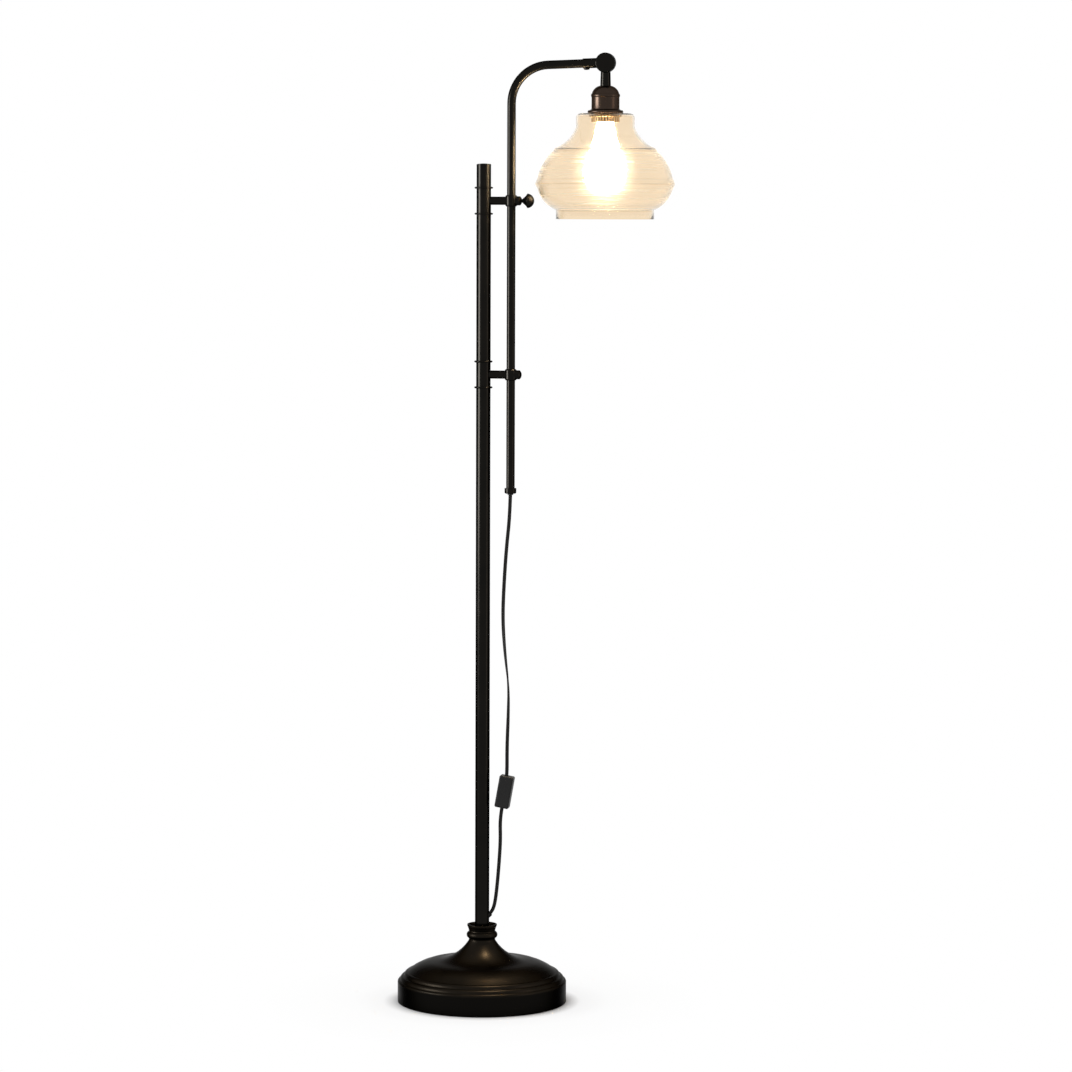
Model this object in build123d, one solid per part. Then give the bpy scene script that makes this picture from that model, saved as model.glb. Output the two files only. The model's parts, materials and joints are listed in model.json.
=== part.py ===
from build123d import *
from math import asin, cos, pi, radians, sin, sqrt, tan
import os

os.makedirs("parts", exist_ok=True)

# Pharmacy floor lamp, in millimetres. The pole stands on the Z axis, the floor is Z = 0,
# and the arm reaches out along +X.

# Fits between pieces
SNUG = 0.02          # pressed, threaded or glued together
RUNNING = 0.06       # a shaft that turns or slides in its hole
FREE = 0.4           # room round something that passes through or swings past

# How round stretches are drawn. A bow is the height of an arc over its chord.
QUARTER_BOW = 1 - sqrt(0.5)      # of a quarter circle with a radius of 1
CORD_ARC_SHARE = 0.45            # of a cord's run, taken up by the arc at each of its ends

# Base: spun shell over a cast weight
RIM_R = 130.0
RIM_H = 30.0
SHOULDER_W = 3.0
SHOULDER_H = 4.4
SHOULDER_BOW = 1.1
STEP_LEDGE_W = 0.5
STEP_LEDGE_H = 0.2
STEP_W = 5.7
STEP_H = 5.9
STEP_BOW = 1.6
DOME_H = 15.9
DOME_BOW = 2.7
FLARE_R = 78.0
FLARE_H = 34.3
FLARE_BOW = 8.6
NECK_R = 20.3
SHELL_WALL = 1.6
PAD_T = 3.0
RIM_LIFT = 0.6
WEIGHT_T = 16.0
WEIGHT_HUB_R = 15.0
WEIGHT_BOSS_R = 31.0
WEIGHT_BOSS_ROOF = 6.0
NUT_POCKET_R = 24.0
NUT_POCKET_H = 26.0

# Neck pieces above the shell
NECK_BEAD_R = 23.8
NECK_BEAD_H = 13.4
NECK_BEAD_LIP = 1.5
CUP_R = 22.9
CUP_H = 9.6
CUP_BOW = 1.0
CUP_FLOOR_T = 2.6
CUP_LIP = 2.0
CUP_DISH = 4.0

# Pole
POLE_R = 11.0
POLE_WALL = 1.2
POLE_TOP_Z = 1288.5
CAP_H = 6.0
CAP_DOME_H = 1.8
CAP_EDGE_H = 0.6
NIPPLE_R = 8.0
NIPPLE_WALL = 3.0
NUT_T = 7.0
NUT_ACROSS = 24.0
WASHER_T = 1.5
WASHER_R = 15.0

# Rings, blocks and side brackets
LOW_BRACKET_Z = 968.0
UP_BRACKET_Z = 1232.0
RING_SPACING = 39.4
RING_R = 14.0
RING_T = 2.8
RING_FULLNESS = 0.98
SPIGOT_REACH = 16.0
SPIGOT_SCREW_R = 7.5
SPIGOT_BORE_R = 5.0
TUBE_OFFSET = 42.5
ROD_R = 6.25
STUB_R = 4.0
STUB_DEPTH = 6.0
EYE_R = 8.9
EYE_H = 17.4
EYE_ROUND = 2.4
BOSS_R = 6.9
BOSS_REACH = 16.8
BOSS_DOME = 3.2

# Thumb screw and clamp pad, measured from the thin tube's axis
SCREW_R = 2.8
PAD_GAP = 0.1
PAD_L = 2.6
KNOB_START = 18.2
KNOB_L = 17.0
KNOB_R = 10.8
KNOB_NECK_R = 3.9
KNOB_CONE_H = 6.7
KNOB_CONE_BOW = 0.6
KNOB_EDGE_H = 1.6
KNOB_EDGE_BOW = 0.3

# Arm: thin tube with one bend
TUBE_R = 6.5
TUBE_WALL = 1.0
TUBE_END_Z = 789.5
ARM_REACH = 144.0
ARM_RISE = 2.0
ARM_BEND_R = 58.0
SWIVEL_Z = 1440.0
END_CAP_R = 9.0
END_CAP_H = 8.2
END_CAP_FLOOR = 3.0
END_CAP_ROUND = 2.0

# Swivel at the arm's end
SWIVEL_R = 15.0
SWIVEL_W = 16.0
SWIVEL_ROUND = 1.8
FRICTION_T = 0.6
FERRULE_R = 7.5
FERRULE_START = 34.6
FERRULE_SOCKET = 13.0
FERRULE_SCREW_AT = 29.2
FERRULE_SCREW_R = 4.4
FERRULE_SCREW_PROUD = 2.4
FERRULE_CROWN_H = 0.8
FERRULE_SHANK_R = 1.8
BOLT_R = 2.5
BOLT_HEAD_R = 4.4
BOLT_HEAD_T = 2.4
SPRING_WASHER_T = 0.6
BOLT_GRIP = 5.5

# Head: stem, husk, socket
STEM_DROP = 34.8
STEM_TOP_R = 7.0
STEM_FOOT_R = 8.0
HUSK_R = 21.1
HUSK_H = 41.4
HUSK_WALL = 1.3
HUSK_CROWN_R = 9.5
HUSK_DOME_H = 12.0
HUSK_DOME_BOW = 2.2
HUSK_BEAD_R = 21.8
HUSK_BEAD_H = 5.0
HUSK_FLANGE_R = 26.0
HUSK_FLANGE_H = 4.6
HUSK_FLARE_H = 2.4
HUSK_FLARE_BOW = 0.7
SOCKET_NIPPLE_R = 4.75
SOCKET_NIPPLE_WALL = 1.5
SOCKET_NIPPLE_REACH = 10.0
SOCKET_R = 19.0
SOCKET_SHOULDER = 17.0
SOCKET_BOSS_R = 8.5
SOCKET_ROOF = 25.0
SHELL_R = 13.9
SHELL_T = 0.5
SHELL_L = 24.0
CONTACT_R = 4.0
CONTACT_T = 1.0

# Shade: moulded glass, radii and depths below its flat top
GLASS_T = 2.8
SHADE_HOLE_R = 20.0
SHADE_NECK_R = 44.3
SHADE_ROUND = 6.5
SHADE_NECK_DEPTH = 20.3
SHADE_FLARE_R = 75.0
SHADE_FLARE_DEPTH = 51.9
SHADE_FLARE_BOW = 4.8
SHADE_LEDGE_W = 3.0
SHADE_LEDGE_H = 4.0
SHADE_LEDGE_BOW = 0.7
SHADE_BODY_R = 102.6
SHADE_BODY_DEPTH = 98.8
SHADE_BODY_BOW = 4.0
SHADE_BEAD_H = 13.6
SHADE_BEAD_BULGE = 2.8
SHADE_FOOT_R = 77.0
SHADE_FOOT_DEPTH = 144.2
SHADE_FOOT_BOW = 4.3
SHADE_MOUTH_R = 74.2
SHADE_BAND_DEPTH = 147.0
SHADE_H = 159.0

# Shade ring under the glass
RING_FLANGE_R = 24.5
RING_FLANGE_T = 2.2
RING_BODY_R = 21.5
RING_H = 10.4
RING_SCALLOPS = 30
RING_SCALLOP_R = 1.0

# Bulb: teardrop glass on a screw cap
BULB_R = 30.5
BULB_L = 134.0
BULB_GLASS_T = 0.8
BULB_SHOULDER_ANGLE = 24.0
BULB_NECK_R = 12.4
BULB_NECK_BOW = 1.2
BULB_NECK_SHOWN = 2.0
BULB_CAP_R = 13.1
BULB_CAP_T = 0.5
BULB_TIP_R = 4.5
BULB_TIP_H = 6.0
BULB_TIP_BOW = 0.6
FILAMENT_STEM_R = 2.2
FILAMENT_STEM_L = 88.0
FILAMENT_R = 0.45
FILAMENT_STRANDS = 6
FILAMENT_TOP_R = 6.0
FILAMENT_FOOT_R = 11.0
FILAMENT_TOP_AT = 46.0
HOOK_T = 1.2

# Cord, switch and leads
CORD_R = 2.75
LEAD_R = 2.4
ENTRY_Z = 135.0
ENTRY_TILT = 45.0
ENTRY_RUN = 4.0
GROMMET_R = 3.9
GROMMET_IN = 4.5
GROMMET_OUT = 2.6
BUSHING_R = 4.4
BUSHING_FLANGE_R = 5.2
BUSHING_FLANGE_T = 1.6
BUSHING_DROP = 2.0
SWITCH_AT = (34.9, 0.0, 327.0)
SWITCH_TILT = 10.0
SWITCH_W = 22.0
SWITCH_L = 50.0
SWITCH_HALF_T = 9.0
SWITCH_ROUND = 2.6
FUNNEL_DEPTH = 4.6
FUNNEL_MOUTH_R = 4.3
CORD_END_GAP = 0.7
ROCKER_W = 9.0
ROCKER_L = 19.2
ROCKER_PIVOT_Y = 5.4
ROCKER_PIN_R = 1.2
ROCKER_PIN_L = 12.0
ROCKER_CREST = 1.4
ROCKER_THROW = 8.0
SWITCH_SCREW_R = 1.4
SWITCH_SCREW_HEAD_R = 2.6
SWITCH_SCREW_HEAD_T = 1.6
SWITCH_SCREW_L = 13.0
SWITCH_SCREW_X = 7.4
SWITCH_SCREW_Z = 17.0
OUTLET_Z = 9.0
OUTLET_R = 4.6
OUTLET_FLANGE_R = 6.6
OUTLET_FLANGE_T = 2.0
OUTLET_L = 9.0
LEAD_BEND_R = 8.0

# Points of the cord's route, from the thin tube's bushing down to the switch,
# and from the switch down to the pole. The first and last lie inside the pieces it enters.
UPPER_ROUTE = [
    (42.5, 0.0, 789.5),
    (41.6, 0.2, 752.0),
    (36.4, 1.0, 704.0),
    (32.6, 1.6, 648.0),
    (30.8, 0.6, 594.0),
    (34.8, -0.8, 540.0),
    (41.0, -1.2, 490.0),
    (40.0, 0.0, 440.0),
    (38.2, 0.4, 396.0),
]
LOWER_ROUTE = [
    (27.8, -0.4, 281.0),
    (28.6, 0.0, 252.0),
    (26.2, 0.5, 214.0),
    (23.2, 0.2, 178.0),
    (20.2, 0.0, 153.5),
]

# Heights and radii that follow from the sizes above
shoulder_z = RIM_H + SHOULDER_H
step_1_r = RIM_R - SHOULDER_W - STEP_LEDGE_W
step_2_r = step_1_r - STEP_W - STEP_LEDGE_W
dome_r = step_2_r - STEP_W - STEP_LEDGE_W
step_1_z = shoulder_z + STEP_LEDGE_H
step_2_z = step_1_z + STEP_H + STEP_LEDGE_H
dome_z = step_2_z + STEP_H + STEP_LEDGE_H
flare_z = dome_z + DOME_H
neck_z = flare_z + FLARE_H
bead_top_z = neck_z + NECK_BEAD_H
cup_floor_z = bead_top_z + CUP_FLOOR_T
cup_top_z = bead_top_z + CUP_H
foot_top_z = cup_floor_z + CUP_H - CUP_DISH
pole_bore_r = POLE_R - POLE_WALL
nipple_bore_r = NIPPLE_R - NIPPLE_WALL
nut_seat_z = PAD_T + NUT_POCKET_H
nut_low_z = nut_seat_z - WASHER_T - NUT_T
tube_bore_r = TUBE_R - TUBE_WALL
eye_bore_r = TUBE_R + RUNNING
head_x = TUBE_OFFSET + ARM_REACH
husk_top_z = SWIVEL_Z - STEM_DROP
shade_top_z = husk_top_z - HUSK_H
shade_seat_z = shade_top_z - GLASS_T
socket_roof_z = husk_top_z - SOCKET_ROOF
socket_low_z = shade_seat_z - RING_H
bulb_tip_z = socket_roof_z - CONTACT_T
bulb_cap_low_z = socket_low_z + RING_FLANGE_T
end_cap_low_z = TUBE_END_Z - END_CAP_FLOOR
ring_heights = [
    bracket_z + side * RING_SPACING / 2
    for bracket_z in (LOW_BRACKET_Z, UP_BRACKET_Z)
    for side in (-1, 1)
]


def outline(start, *steps):
    """Closed outline: a step is a corner (x, y), or (x, y, sagitta) for an arc to it."""
    edges = Curve()
    here = start
    for step in steps:
        end = step[:2]
        if len(step) == 3:
            edges += SagittaArc(here, end, step[2])
        else:
            edges += Line(here, end)
        here = end
    edges += Line(here, start)
    return edges


def turned(start, *steps):
    """Solid of revolution about Z from an outline of radii and heights."""
    return revolve(make_face(Plane.XZ * outline(start, *steps)), Axis.Z)


def dome_bow(radius, height):
    """Sagitta of the arc that closes a round end with a dome, from its edge to the axis."""
    ball_r = (radius**2 + height**2) / (2 * height)
    return ball_r * (1 - cos(asin(radius / ball_r) / 2))


def bar(radius, low, high):
    """Upright round bar between two heights."""
    return Pos(0, 0, low) * Cylinder(radius, high - low, align=(Align.CENTER, Align.CENTER, Align.MIN))


def tube(outer, inner, low, high):
    """Upright round tube between two heights."""
    return bar(outer, low, high) - bar(inner, low, high)


def along_x(shape):
    """Lay an upright piece down, with its top towards +X."""
    return Rot(0, 90, 0) * shape


def along_y(shape):
    """Lay an upright piece down, with its top towards +Y."""
    return Rot(-90, 0, 0) * shape


def save(node, shape):
    export_step(shape, f"parts/{node}.step")


# Base


def base_outline(inset):
    """Corners of the dome from the rim's foot up to the neck, moved in by a wall."""
    return [
        (RIM_R - inset, RIM_H - inset / 2),
        (RIM_R - SHOULDER_W - inset, shoulder_z - inset, -SHOULDER_BOW),
        (step_1_r - inset, step_1_z - inset),
        (step_1_r - STEP_W - inset, step_1_z + STEP_H - inset, -STEP_BOW),
        (step_2_r - inset, step_2_z - inset),
        (step_2_r - STEP_W - inset, step_2_z + STEP_H - inset, -STEP_BOW),
        (dome_r - inset, dome_z - inset),
        (FLARE_R, flare_z - inset, -DOME_BOW),
        (NECK_R - inset, neck_z - inset, FLARE_BOW),
    ]


def make_base_shell():
    outer = base_outline(0)
    inner = base_outline(SHELL_WALL)
    hole_r = NIPPLE_R + SNUG
    top = [(hole_r, neck_z), (hole_r, neck_z - SHELL_WALL)]
    back_down = reverse_steps(inner)
    shell = turned((RIM_R, RIM_LIFT), *outer, *top, *back_down, (RIM_R - SHELL_WALL, RIM_LIFT))
    return shell - outlet_hole(OUTLET_R + SNUG)


def reverse_steps(steps):
    """The same corners and arcs walked the other way."""
    corners = [step[:2] for step in steps]
    bows = [step[2] if len(step) == 3 else None for step in steps]
    walked = [corners[-1]]
    for corner, bow in zip(corners[-2::-1], bows[:0:-1]):
        walked.append(corner if bow is None else (*corner, -bow))
    return walked


def outlet_hole(radius):
    """Round hole for the supply lead through the back of the rim."""
    return Pos(0, 0, OUTLET_Z) * along_y(bar(radius, RIM_R - OUTLET_L - FREE, RIM_R + OUTLET_FLANGE_T))


def make_base_weight():
    edge_r = RIM_R - SHELL_WALL - FREE
    slab_z = PAD_T + WEIGHT_T
    boss_z = nut_seat_z + WEIGHT_BOSS_ROOF
    hub_top_z = neck_z - SHELL_WALL
    bore_r = NIPPLE_R + FREE
    weight = turned(
        (NUT_POCKET_R, PAD_T),
        (edge_r, PAD_T),
        (edge_r, slab_z),
        (WEIGHT_BOSS_R, slab_z),
        (WEIGHT_BOSS_R, boss_z),
        (WEIGHT_HUB_R, boss_z),
        (WEIGHT_HUB_R, hub_top_z),
        (bore_r, hub_top_z),
        (bore_r, nut_seat_z),
        (NUT_POCKET_R, nut_seat_z),
    )
    groove_h = OUTLET_Z + OUTLET_R + FREE - PAD_T
    groove = Pos(0, edge_r / 2, PAD_T + groove_h / 2) * Box(2 * (OUTLET_R + FREE), edge_r + FREE, groove_h)
    return weight - groove


def make_floor_pad():
    return bar(RIM_R - SHELL_WALL - FREE, 0, PAD_T)


def make_base_nipple():
    return tube(NIPPLE_R, nipple_bore_r, nut_low_z - WASHER_T, foot_top_z)


def make_base_nut():
    blank = extrude(RegularPolygon(NUT_ACROSS / 2, 6, major_radius=False), NUT_T)
    return Pos(0, 0, nut_low_z) * blank - bar(NIPPLE_R + SNUG, nut_low_z, nut_seat_z)


def make_base_washer():
    return tube(WASHER_R, NIPPLE_R + SNUG, nut_seat_z - WASHER_T, nut_seat_z)


def make_neck_bead():
    hole_r = NIPPLE_R + SNUG
    return turned(
        (hole_r, neck_z),
        (NECK_R, neck_z),
        (NECK_R, neck_z + NECK_BEAD_LIP),
        (NECK_R, bead_top_z - NECK_BEAD_LIP, NECK_R - NECK_BEAD_R),
        (NECK_R, bead_top_z),
        (hole_r, bead_top_z),
    )


def make_pole_cup():
    seat_r = POLE_R + SNUG
    hole_r = NIPPLE_R + SNUG
    return turned(
        (hole_r, bead_top_z),
        (NECK_R, bead_top_z),
        (CUP_R, cup_top_z - CUP_LIP, CUP_BOW),
        (CUP_R, cup_top_z),
        (CUP_R - CUP_LIP, cup_top_z),
        (seat_r + CUP_LIP, cup_top_z - CUP_DISH, CUP_BOW),
        (seat_r, cup_top_z - CUP_DISH),
        (seat_r, cup_floor_z),
        (hole_r, cup_floor_z),
    )


def make_outlet_bushing():
    hole_r = LEAD_R + FREE / 2
    sleeve = bar(OUTLET_R, RIM_R - OUTLET_L, RIM_R)
    flange_low = sqrt(RIM_R**2 - OUTLET_FLANGE_R**2)
    flange = bar(OUTLET_FLANGE_R, flange_low, RIM_R + OUTLET_FLANGE_T)
    hole = bar(hole_r, RIM_R - OUTLET_L, RIM_R + OUTLET_FLANGE_T)
    flange = Pos(0, 0, OUTLET_Z) * along_y(flange) - bar(RIM_R, 0, RIM_H)
    return Pos(0, 0, OUTLET_Z) * along_y(sleeve - hole) + flange - Pos(0, 0, OUTLET_Z) * along_y(hole)


# Pole


def entry_axis(radius, start, end):
    """Round bar along the slanting line by which the cord enters the pole."""
    return Pos(POLE_R, 0, ENTRY_Z) * Rot(0, ENTRY_TILT, 0) * bar(radius, start, end)


def entry_point(distance):
    """Point on the cord's slanting entry line, outwards from the pole's wall."""
    slant = radians(ENTRY_TILT)
    return (POLE_R + distance * sin(slant), 0, ENTRY_Z + distance * cos(slant))


def make_lower_pole():
    top = ring_heights[0] - RING_T / 2
    entry = entry_axis(GROMMET_R + SNUG, -POLE_R, POLE_R)
    return tube(POLE_R, pole_bore_r, cup_floor_z, top) - entry


def make_middle_pole():
    return tube(POLE_R, pole_bore_r, ring_heights[1] + RING_T / 2, ring_heights[2] - RING_T / 2)


def make_upper_pole():
    return tube(POLE_R, pole_bore_r, ring_heights[3] + RING_T / 2, POLE_TOP_Z - CAP_DOME_H)


def make_pole_cap():
    rim_z = POLE_TOP_Z - CAP_DOME_H
    plug_r = pole_bore_r - SNUG
    return turned(
        (0, rim_z - CAP_H),
        (plug_r, rim_z - CAP_H),
        (plug_r, rim_z),
        (POLE_R, rim_z),
        (POLE_R, rim_z + CAP_EDGE_H),
        (0, POLE_TOP_Z, -dome_bow(POLE_R, CAP_DOME_H - CAP_EDGE_H)),
    )


def make_pole_foot():
    return tube(pole_bore_r - SNUG, NIPPLE_R + SNUG, cup_floor_z, foot_top_z)


def make_pole_ring(height):
    hole_r = SPIGOT_SCREW_R + SNUG
    half = RING_T / 2
    flat_r = RING_R - half
    return turned(
        (hole_r, height - half),
        (flat_r, height - half),
        (flat_r, height + half, -half * RING_FULLNESS),
        (hole_r, height + half),
    )


def make_spigot(height, side):
    """Plug that screws into the bracket block and fills the end of the tube beyond the ring."""
    half = RING_T / 2
    plug = tube(pole_bore_r - SNUG, SPIGOT_BORE_R, half, half + SPIGOT_REACH)
    screw = tube(SPIGOT_SCREW_R, SPIGOT_BORE_R, -half - SPIGOT_REACH / 2, half)
    turn = 0 if side > 0 else 180
    return Pos(0, 0, height) * Rot(turn, 0, 0) * (plug + screw)


def make_bracket_block(bracket_z):
    half = RING_SPACING / 2 - RING_T / 2
    block = tube(POLE_R, SPIGOT_SCREW_R + SNUG, bracket_z - half, bracket_z + half)
    core = bar(POLE_R, bracket_z - ROD_R, bracket_z + ROD_R)
    stub_hole = Pos(0, 0, bracket_z) * along_x(bar(STUB_R + SNUG, POLE_R - STUB_DEPTH, 2 * POLE_R))
    return block + core - stub_hole


def make_bracket(bracket_z, drilled):
    """Cast side bracket: stub, rod, guide eye for the thin tube, and domed boss."""
    half_eye = EYE_H / 2
    rod = along_x(bar(ROD_R, 0, TUBE_OFFSET)) - bar(POLE_R + SNUG, -EYE_H, EYE_H)
    stub = along_x(bar(STUB_R, POLE_R - STUB_DEPTH, POLE_R + ROD_R))
    eye = fillet(bar(EYE_R, -half_eye, half_eye).edges().filter_by(GeomType.CIRCLE), EYE_ROUND)
    boss = along_x(
        turned(
            (0, 0),
            (BOSS_R, 0),
            (BOSS_R, BOSS_REACH - BOSS_DOME),
            (0, BOSS_REACH, -dome_bow(BOSS_R, BOSS_DOME)),
        )
    )
    bracket = rod + stub + Pos(TUBE_OFFSET, 0, 0) * (eye + boss)
    bracket -= Pos(TUBE_OFFSET, 0, 0) * bar(eye_bore_r, -EYE_H, EYE_H)
    if drilled:
        bracket -= Pos(TUBE_OFFSET, 0, 0) * along_x(bar(SCREW_R + RUNNING, 0, 2 * BOSS_REACH))
    return Pos(0, 0, bracket_z) * bracket


def make_cord_grommet():
    return entry_axis(GROMMET_R, -GROMMET_IN, GROMMET_OUT) - entry_axis(
        CORD_R + FREE / 4, -GROMMET_IN, GROMMET_OUT
    )


# Thumb screw


def make_clamp_pad():
    start = TUBE_R + PAD_GAP
    pad = along_x(bar(SCREW_R, start, start + PAD_L))
    return Pos(TUBE_OFFSET, 0, UP_BRACKET_Z) * pad


def make_thumb_screw():
    """Screw with a mushroom knob: a cone, a rounded edge and a round dome."""
    tip = TUBE_R + PAD_GAP + PAD_L
    edge = KNOB_START + KNOB_CONE_H
    dome_h = KNOB_L - KNOB_CONE_H - KNOB_EDGE_H
    screw = turned(
        (0, tip),
        (SCREW_R, tip),
        (SCREW_R, KNOB_START),
        (KNOB_NECK_R, KNOB_START),
        (KNOB_R, edge, KNOB_CONE_BOW),
        (KNOB_R, edge + KNOB_EDGE_H, -KNOB_EDGE_BOW),
        (0, KNOB_START + KNOB_L, -dome_bow(KNOB_R, dome_h)),
    )
    return Pos(TUBE_OFFSET, 0, UP_BRACKET_Z) * along_x(screw)


# Arm


def arm_direction():
    return Vector(cos(radians(ARM_RISE)), 0, sin(radians(ARM_RISE)))


def arm_path(start_z, stop_short):
    """Centreline of the thin tube, from a height up round the bend towards the swivel."""
    swivel = Vector(head_x, 0, SWIVEL_Z)
    corner = swivel - arm_direction() * (ARM_REACH / cos(radians(ARM_RISE)))
    end = swivel - arm_direction() * stop_short
    return FilletPolyline((TUBE_OFFSET, 0, start_z), corner, end, radius=ARM_BEND_R)


def swept_round(path, radius):
    return sweep(Plane(path @ 0, z_dir=path % 0) * Circle(radius), path=path)


def make_arm_tube():
    path = arm_path(TUBE_END_Z, FERRULE_START - FERRULE_SOCKET)
    section = Circle(TUBE_R) - Circle(tube_bore_r)
    return sweep(Plane(path @ 0, z_dir=path % 0) * section, path=path)


def make_arm_lead():
    return swept_round(arm_path(TUBE_END_Z + BUSHING_FLANGE_T + FREE, SWIVEL_R + FREE), LEAD_R)


def make_tube_end_cap():
    cap = bar(END_CAP_R, end_cap_low_z, end_cap_low_z + END_CAP_H)
    cap = fillet(cap.edges().filter_by(GeomType.CIRCLE).sort_by(Axis.Z)[0], END_CAP_ROUND)
    cap -= bar(TUBE_R + SNUG, TUBE_END_Z, end_cap_low_z + END_CAP_H)
    cap -= bar(BUSHING_R + RUNNING, end_cap_low_z, TUBE_END_Z)
    return Pos(TUBE_OFFSET, 0, 0) * cap


def at_swivel(shape):
    return Pos(head_x, 0, SWIVEL_Z) * shape


def on_arm_line(shape):
    """Piece made along +Z, laid back from the swivel's centre along the arm."""
    return Rot(0, -90 - ARM_RISE, 0) * shape


def swivel_half(side):
    """Half of the round swivel, on the -Y or +Y side of the friction washer."""
    inner = FRICTION_T / 2
    outer = SWIVEL_W / 2
    disc = bar(SWIVEL_R, inner, outer)
    rim = disc.edges().filter_by(GeomType.CIRCLE).sort_by(Axis.Z)[-1]
    disc = fillet(rim, SWIVEL_ROUND)
    return along_y(disc) if side > 0 else Rot(0, 0, 180) * along_y(disc)


def swing_room(side):
    """Space that the other half of the swivel turns in."""
    room = bar(SWIVEL_R + FREE, -FRICTION_T / 2, SWIVEL_W)
    return along_y(room) if side > 0 else Rot(0, 0, 180) * along_y(room)


def make_arm_knuckle():
    ferrule = on_arm_line(bar(FERRULE_R, 0, FERRULE_START))
    knuckle = swivel_half(-1) + (ferrule - swing_room(1))
    knuckle -= on_arm_line(bar(TUBE_R + SNUG, FERRULE_START - FERRULE_SOCKET, FERRULE_START))
    knuckle -= on_arm_line(bar(LEAD_R + SNUG, SWIVEL_R, FERRULE_START))
    knuckle -= along_y(bar(BOLT_R + SNUG, -BOLT_GRIP - SNUG, SWIVEL_W))
    knuckle -= on_arm_line(screw_hole(FERRULE_SHANK_R + SNUG, TUBE_R))
    return at_swivel(knuckle)


def screw_hole(radius, start):
    """Round bar below the ferrule, across the arm's line, from a distance outwards."""
    return Pos(0, 0, FERRULE_SCREW_AT) * along_x(Rot(180, 0, 0) * bar(radius, start, 2 * FERRULE_R))


def make_ferrule_screw():
    bottom = FERRULE_R + FERRULE_SCREW_PROUD
    crown_foot = bottom - FERRULE_CROWN_H
    head = turned(
        (0, TUBE_R),
        (FERRULE_SCREW_R, TUBE_R),
        (FERRULE_SCREW_R, crown_foot),
        (0, bottom, -dome_bow(FERRULE_SCREW_R, FERRULE_CROWN_H)),
    )
    shank = bar(FERRULE_SHANK_R, TUBE_R + SNUG, crown_foot)
    hang = Pos(0, 0, FERRULE_SCREW_AT) * Rot(0, 0, 180)
    seat = bar(FERRULE_R + SNUG, 0, 2 * FERRULE_START)
    tube_room = bar(TUBE_R + SNUG, 0, 2 * FERRULE_START)
    screw = (hang * along_x(head) - seat) + (hang * along_x(shank) - tube_room)
    return at_swivel(on_arm_line(screw))


def bolt_head_y():
    """Where the pivot bolt's head starts, counted from the swivel's middle."""
    return SWIVEL_W / 2 - BOLT_HEAD_T - SPRING_WASHER_T


def make_pivot_bolt():
    seat = bolt_head_y() + SPRING_WASHER_T
    shank = bar(BOLT_R, -BOLT_GRIP, seat)
    head = bar(BOLT_HEAD_R, seat, seat + BOLT_HEAD_T)
    slot = Pos(0, 0, seat + BOLT_HEAD_T) * Box(2 * BOLT_HEAD_R, BOLT_HEAD_T / 2, BOLT_HEAD_T)
    return at_swivel(along_y(shank + head - slot))


def make_spring_washer():
    seat = bolt_head_y()
    return at_swivel(along_y(tube(BOLT_HEAD_R, BOLT_R + SNUG, seat, seat + SPRING_WASHER_T)))


def make_friction_washer():
    half = FRICTION_T / 2
    return at_swivel(along_y(tube(SWIVEL_R - SWIVEL_ROUND, BOLT_R + RUNNING, -half, half)))


# Head


def make_head_knuckle():
    stem = turned((0, -STEM_DROP), (STEM_FOOT_R, -STEM_DROP), (STEM_TOP_R, 0), (0, 0))
    knuckle = swivel_half(1) + (stem - swing_room(-1))
    knuckle -= along_y(bar(BOLT_R + RUNNING, -SWIVEL_W, SWIVEL_W))
    knuckle -= along_y(bar(BOLT_HEAD_R + FREE, bolt_head_y(), SWIVEL_W))
    knuckle -= bar(SOCKET_NIPPLE_R + SNUG, -STEM_DROP, -STEM_DROP + SOCKET_NIPPLE_REACH)
    knuckle -= bar(LEAD_R + SNUG, -STEM_DROP, -SWIVEL_R)
    return at_swivel(knuckle)


def on_head(shape):
    return Pos(head_x, 0, 0) * shape


def make_socket_husk():
    bead_z = husk_top_z - HUSK_DOME_H
    low_z = husk_top_z - HUSK_H
    inner_r = HUSK_R - HUSK_WALL
    inner_top = husk_top_z - HUSK_WALL
    hole_r = SOCKET_NIPPLE_R + SNUG
    return on_head(
        turned(
            (hole_r, husk_top_z),
            (HUSK_CROWN_R, husk_top_z),
            (HUSK_R, bead_z, HUSK_DOME_BOW),
            (HUSK_R, bead_z - HUSK_BEAD_H, HUSK_BEAD_R - HUSK_R),
            (HUSK_R, low_z + HUSK_FLANGE_H + HUSK_FLARE_H),
            (HUSK_FLANGE_R, low_z + HUSK_FLANGE_H, -HUSK_FLARE_BOW),
            (HUSK_FLANGE_R, low_z),
            (inner_r, low_z),
            (inner_r, bead_z),
            (HUSK_CROWN_R, inner_top, -HUSK_DOME_BOW),
            (hole_r, inner_top),
        )
    )


def make_socket_nipple():
    low = husk_top_z - SOCKET_NIPPLE_REACH
    high = husk_top_z + SOCKET_NIPPLE_REACH
    bore_r = SOCKET_NIPPLE_R - SOCKET_NIPPLE_WALL
    return on_head(tube(SOCKET_NIPPLE_R, bore_r, low, high))


def make_head_lead():
    return on_head(bar(LEAD_R, socket_roof_z, SWIVEL_Z - SWIVEL_R - FREE))


def make_socket_body():
    boss_top = husk_top_z - HUSK_WALL
    body = turned(
        (0, socket_low_z),
        (SOCKET_R, socket_low_z),
        (SOCKET_R, husk_top_z - SOCKET_SHOULDER),
        (SOCKET_BOSS_R, husk_top_z - SOCKET_SHOULDER),
        (SOCKET_BOSS_R, boss_top),
        (0, boss_top),
    )
    body -= bar(SHELL_R + SNUG, socket_low_z, socket_roof_z)
    body -= bar(SOCKET_NIPPLE_R + SNUG, husk_top_z - SOCKET_NIPPLE_REACH, boss_top)
    body -= bar(LEAD_R + SNUG, socket_roof_z, boss_top)
    return on_head(body)


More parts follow.
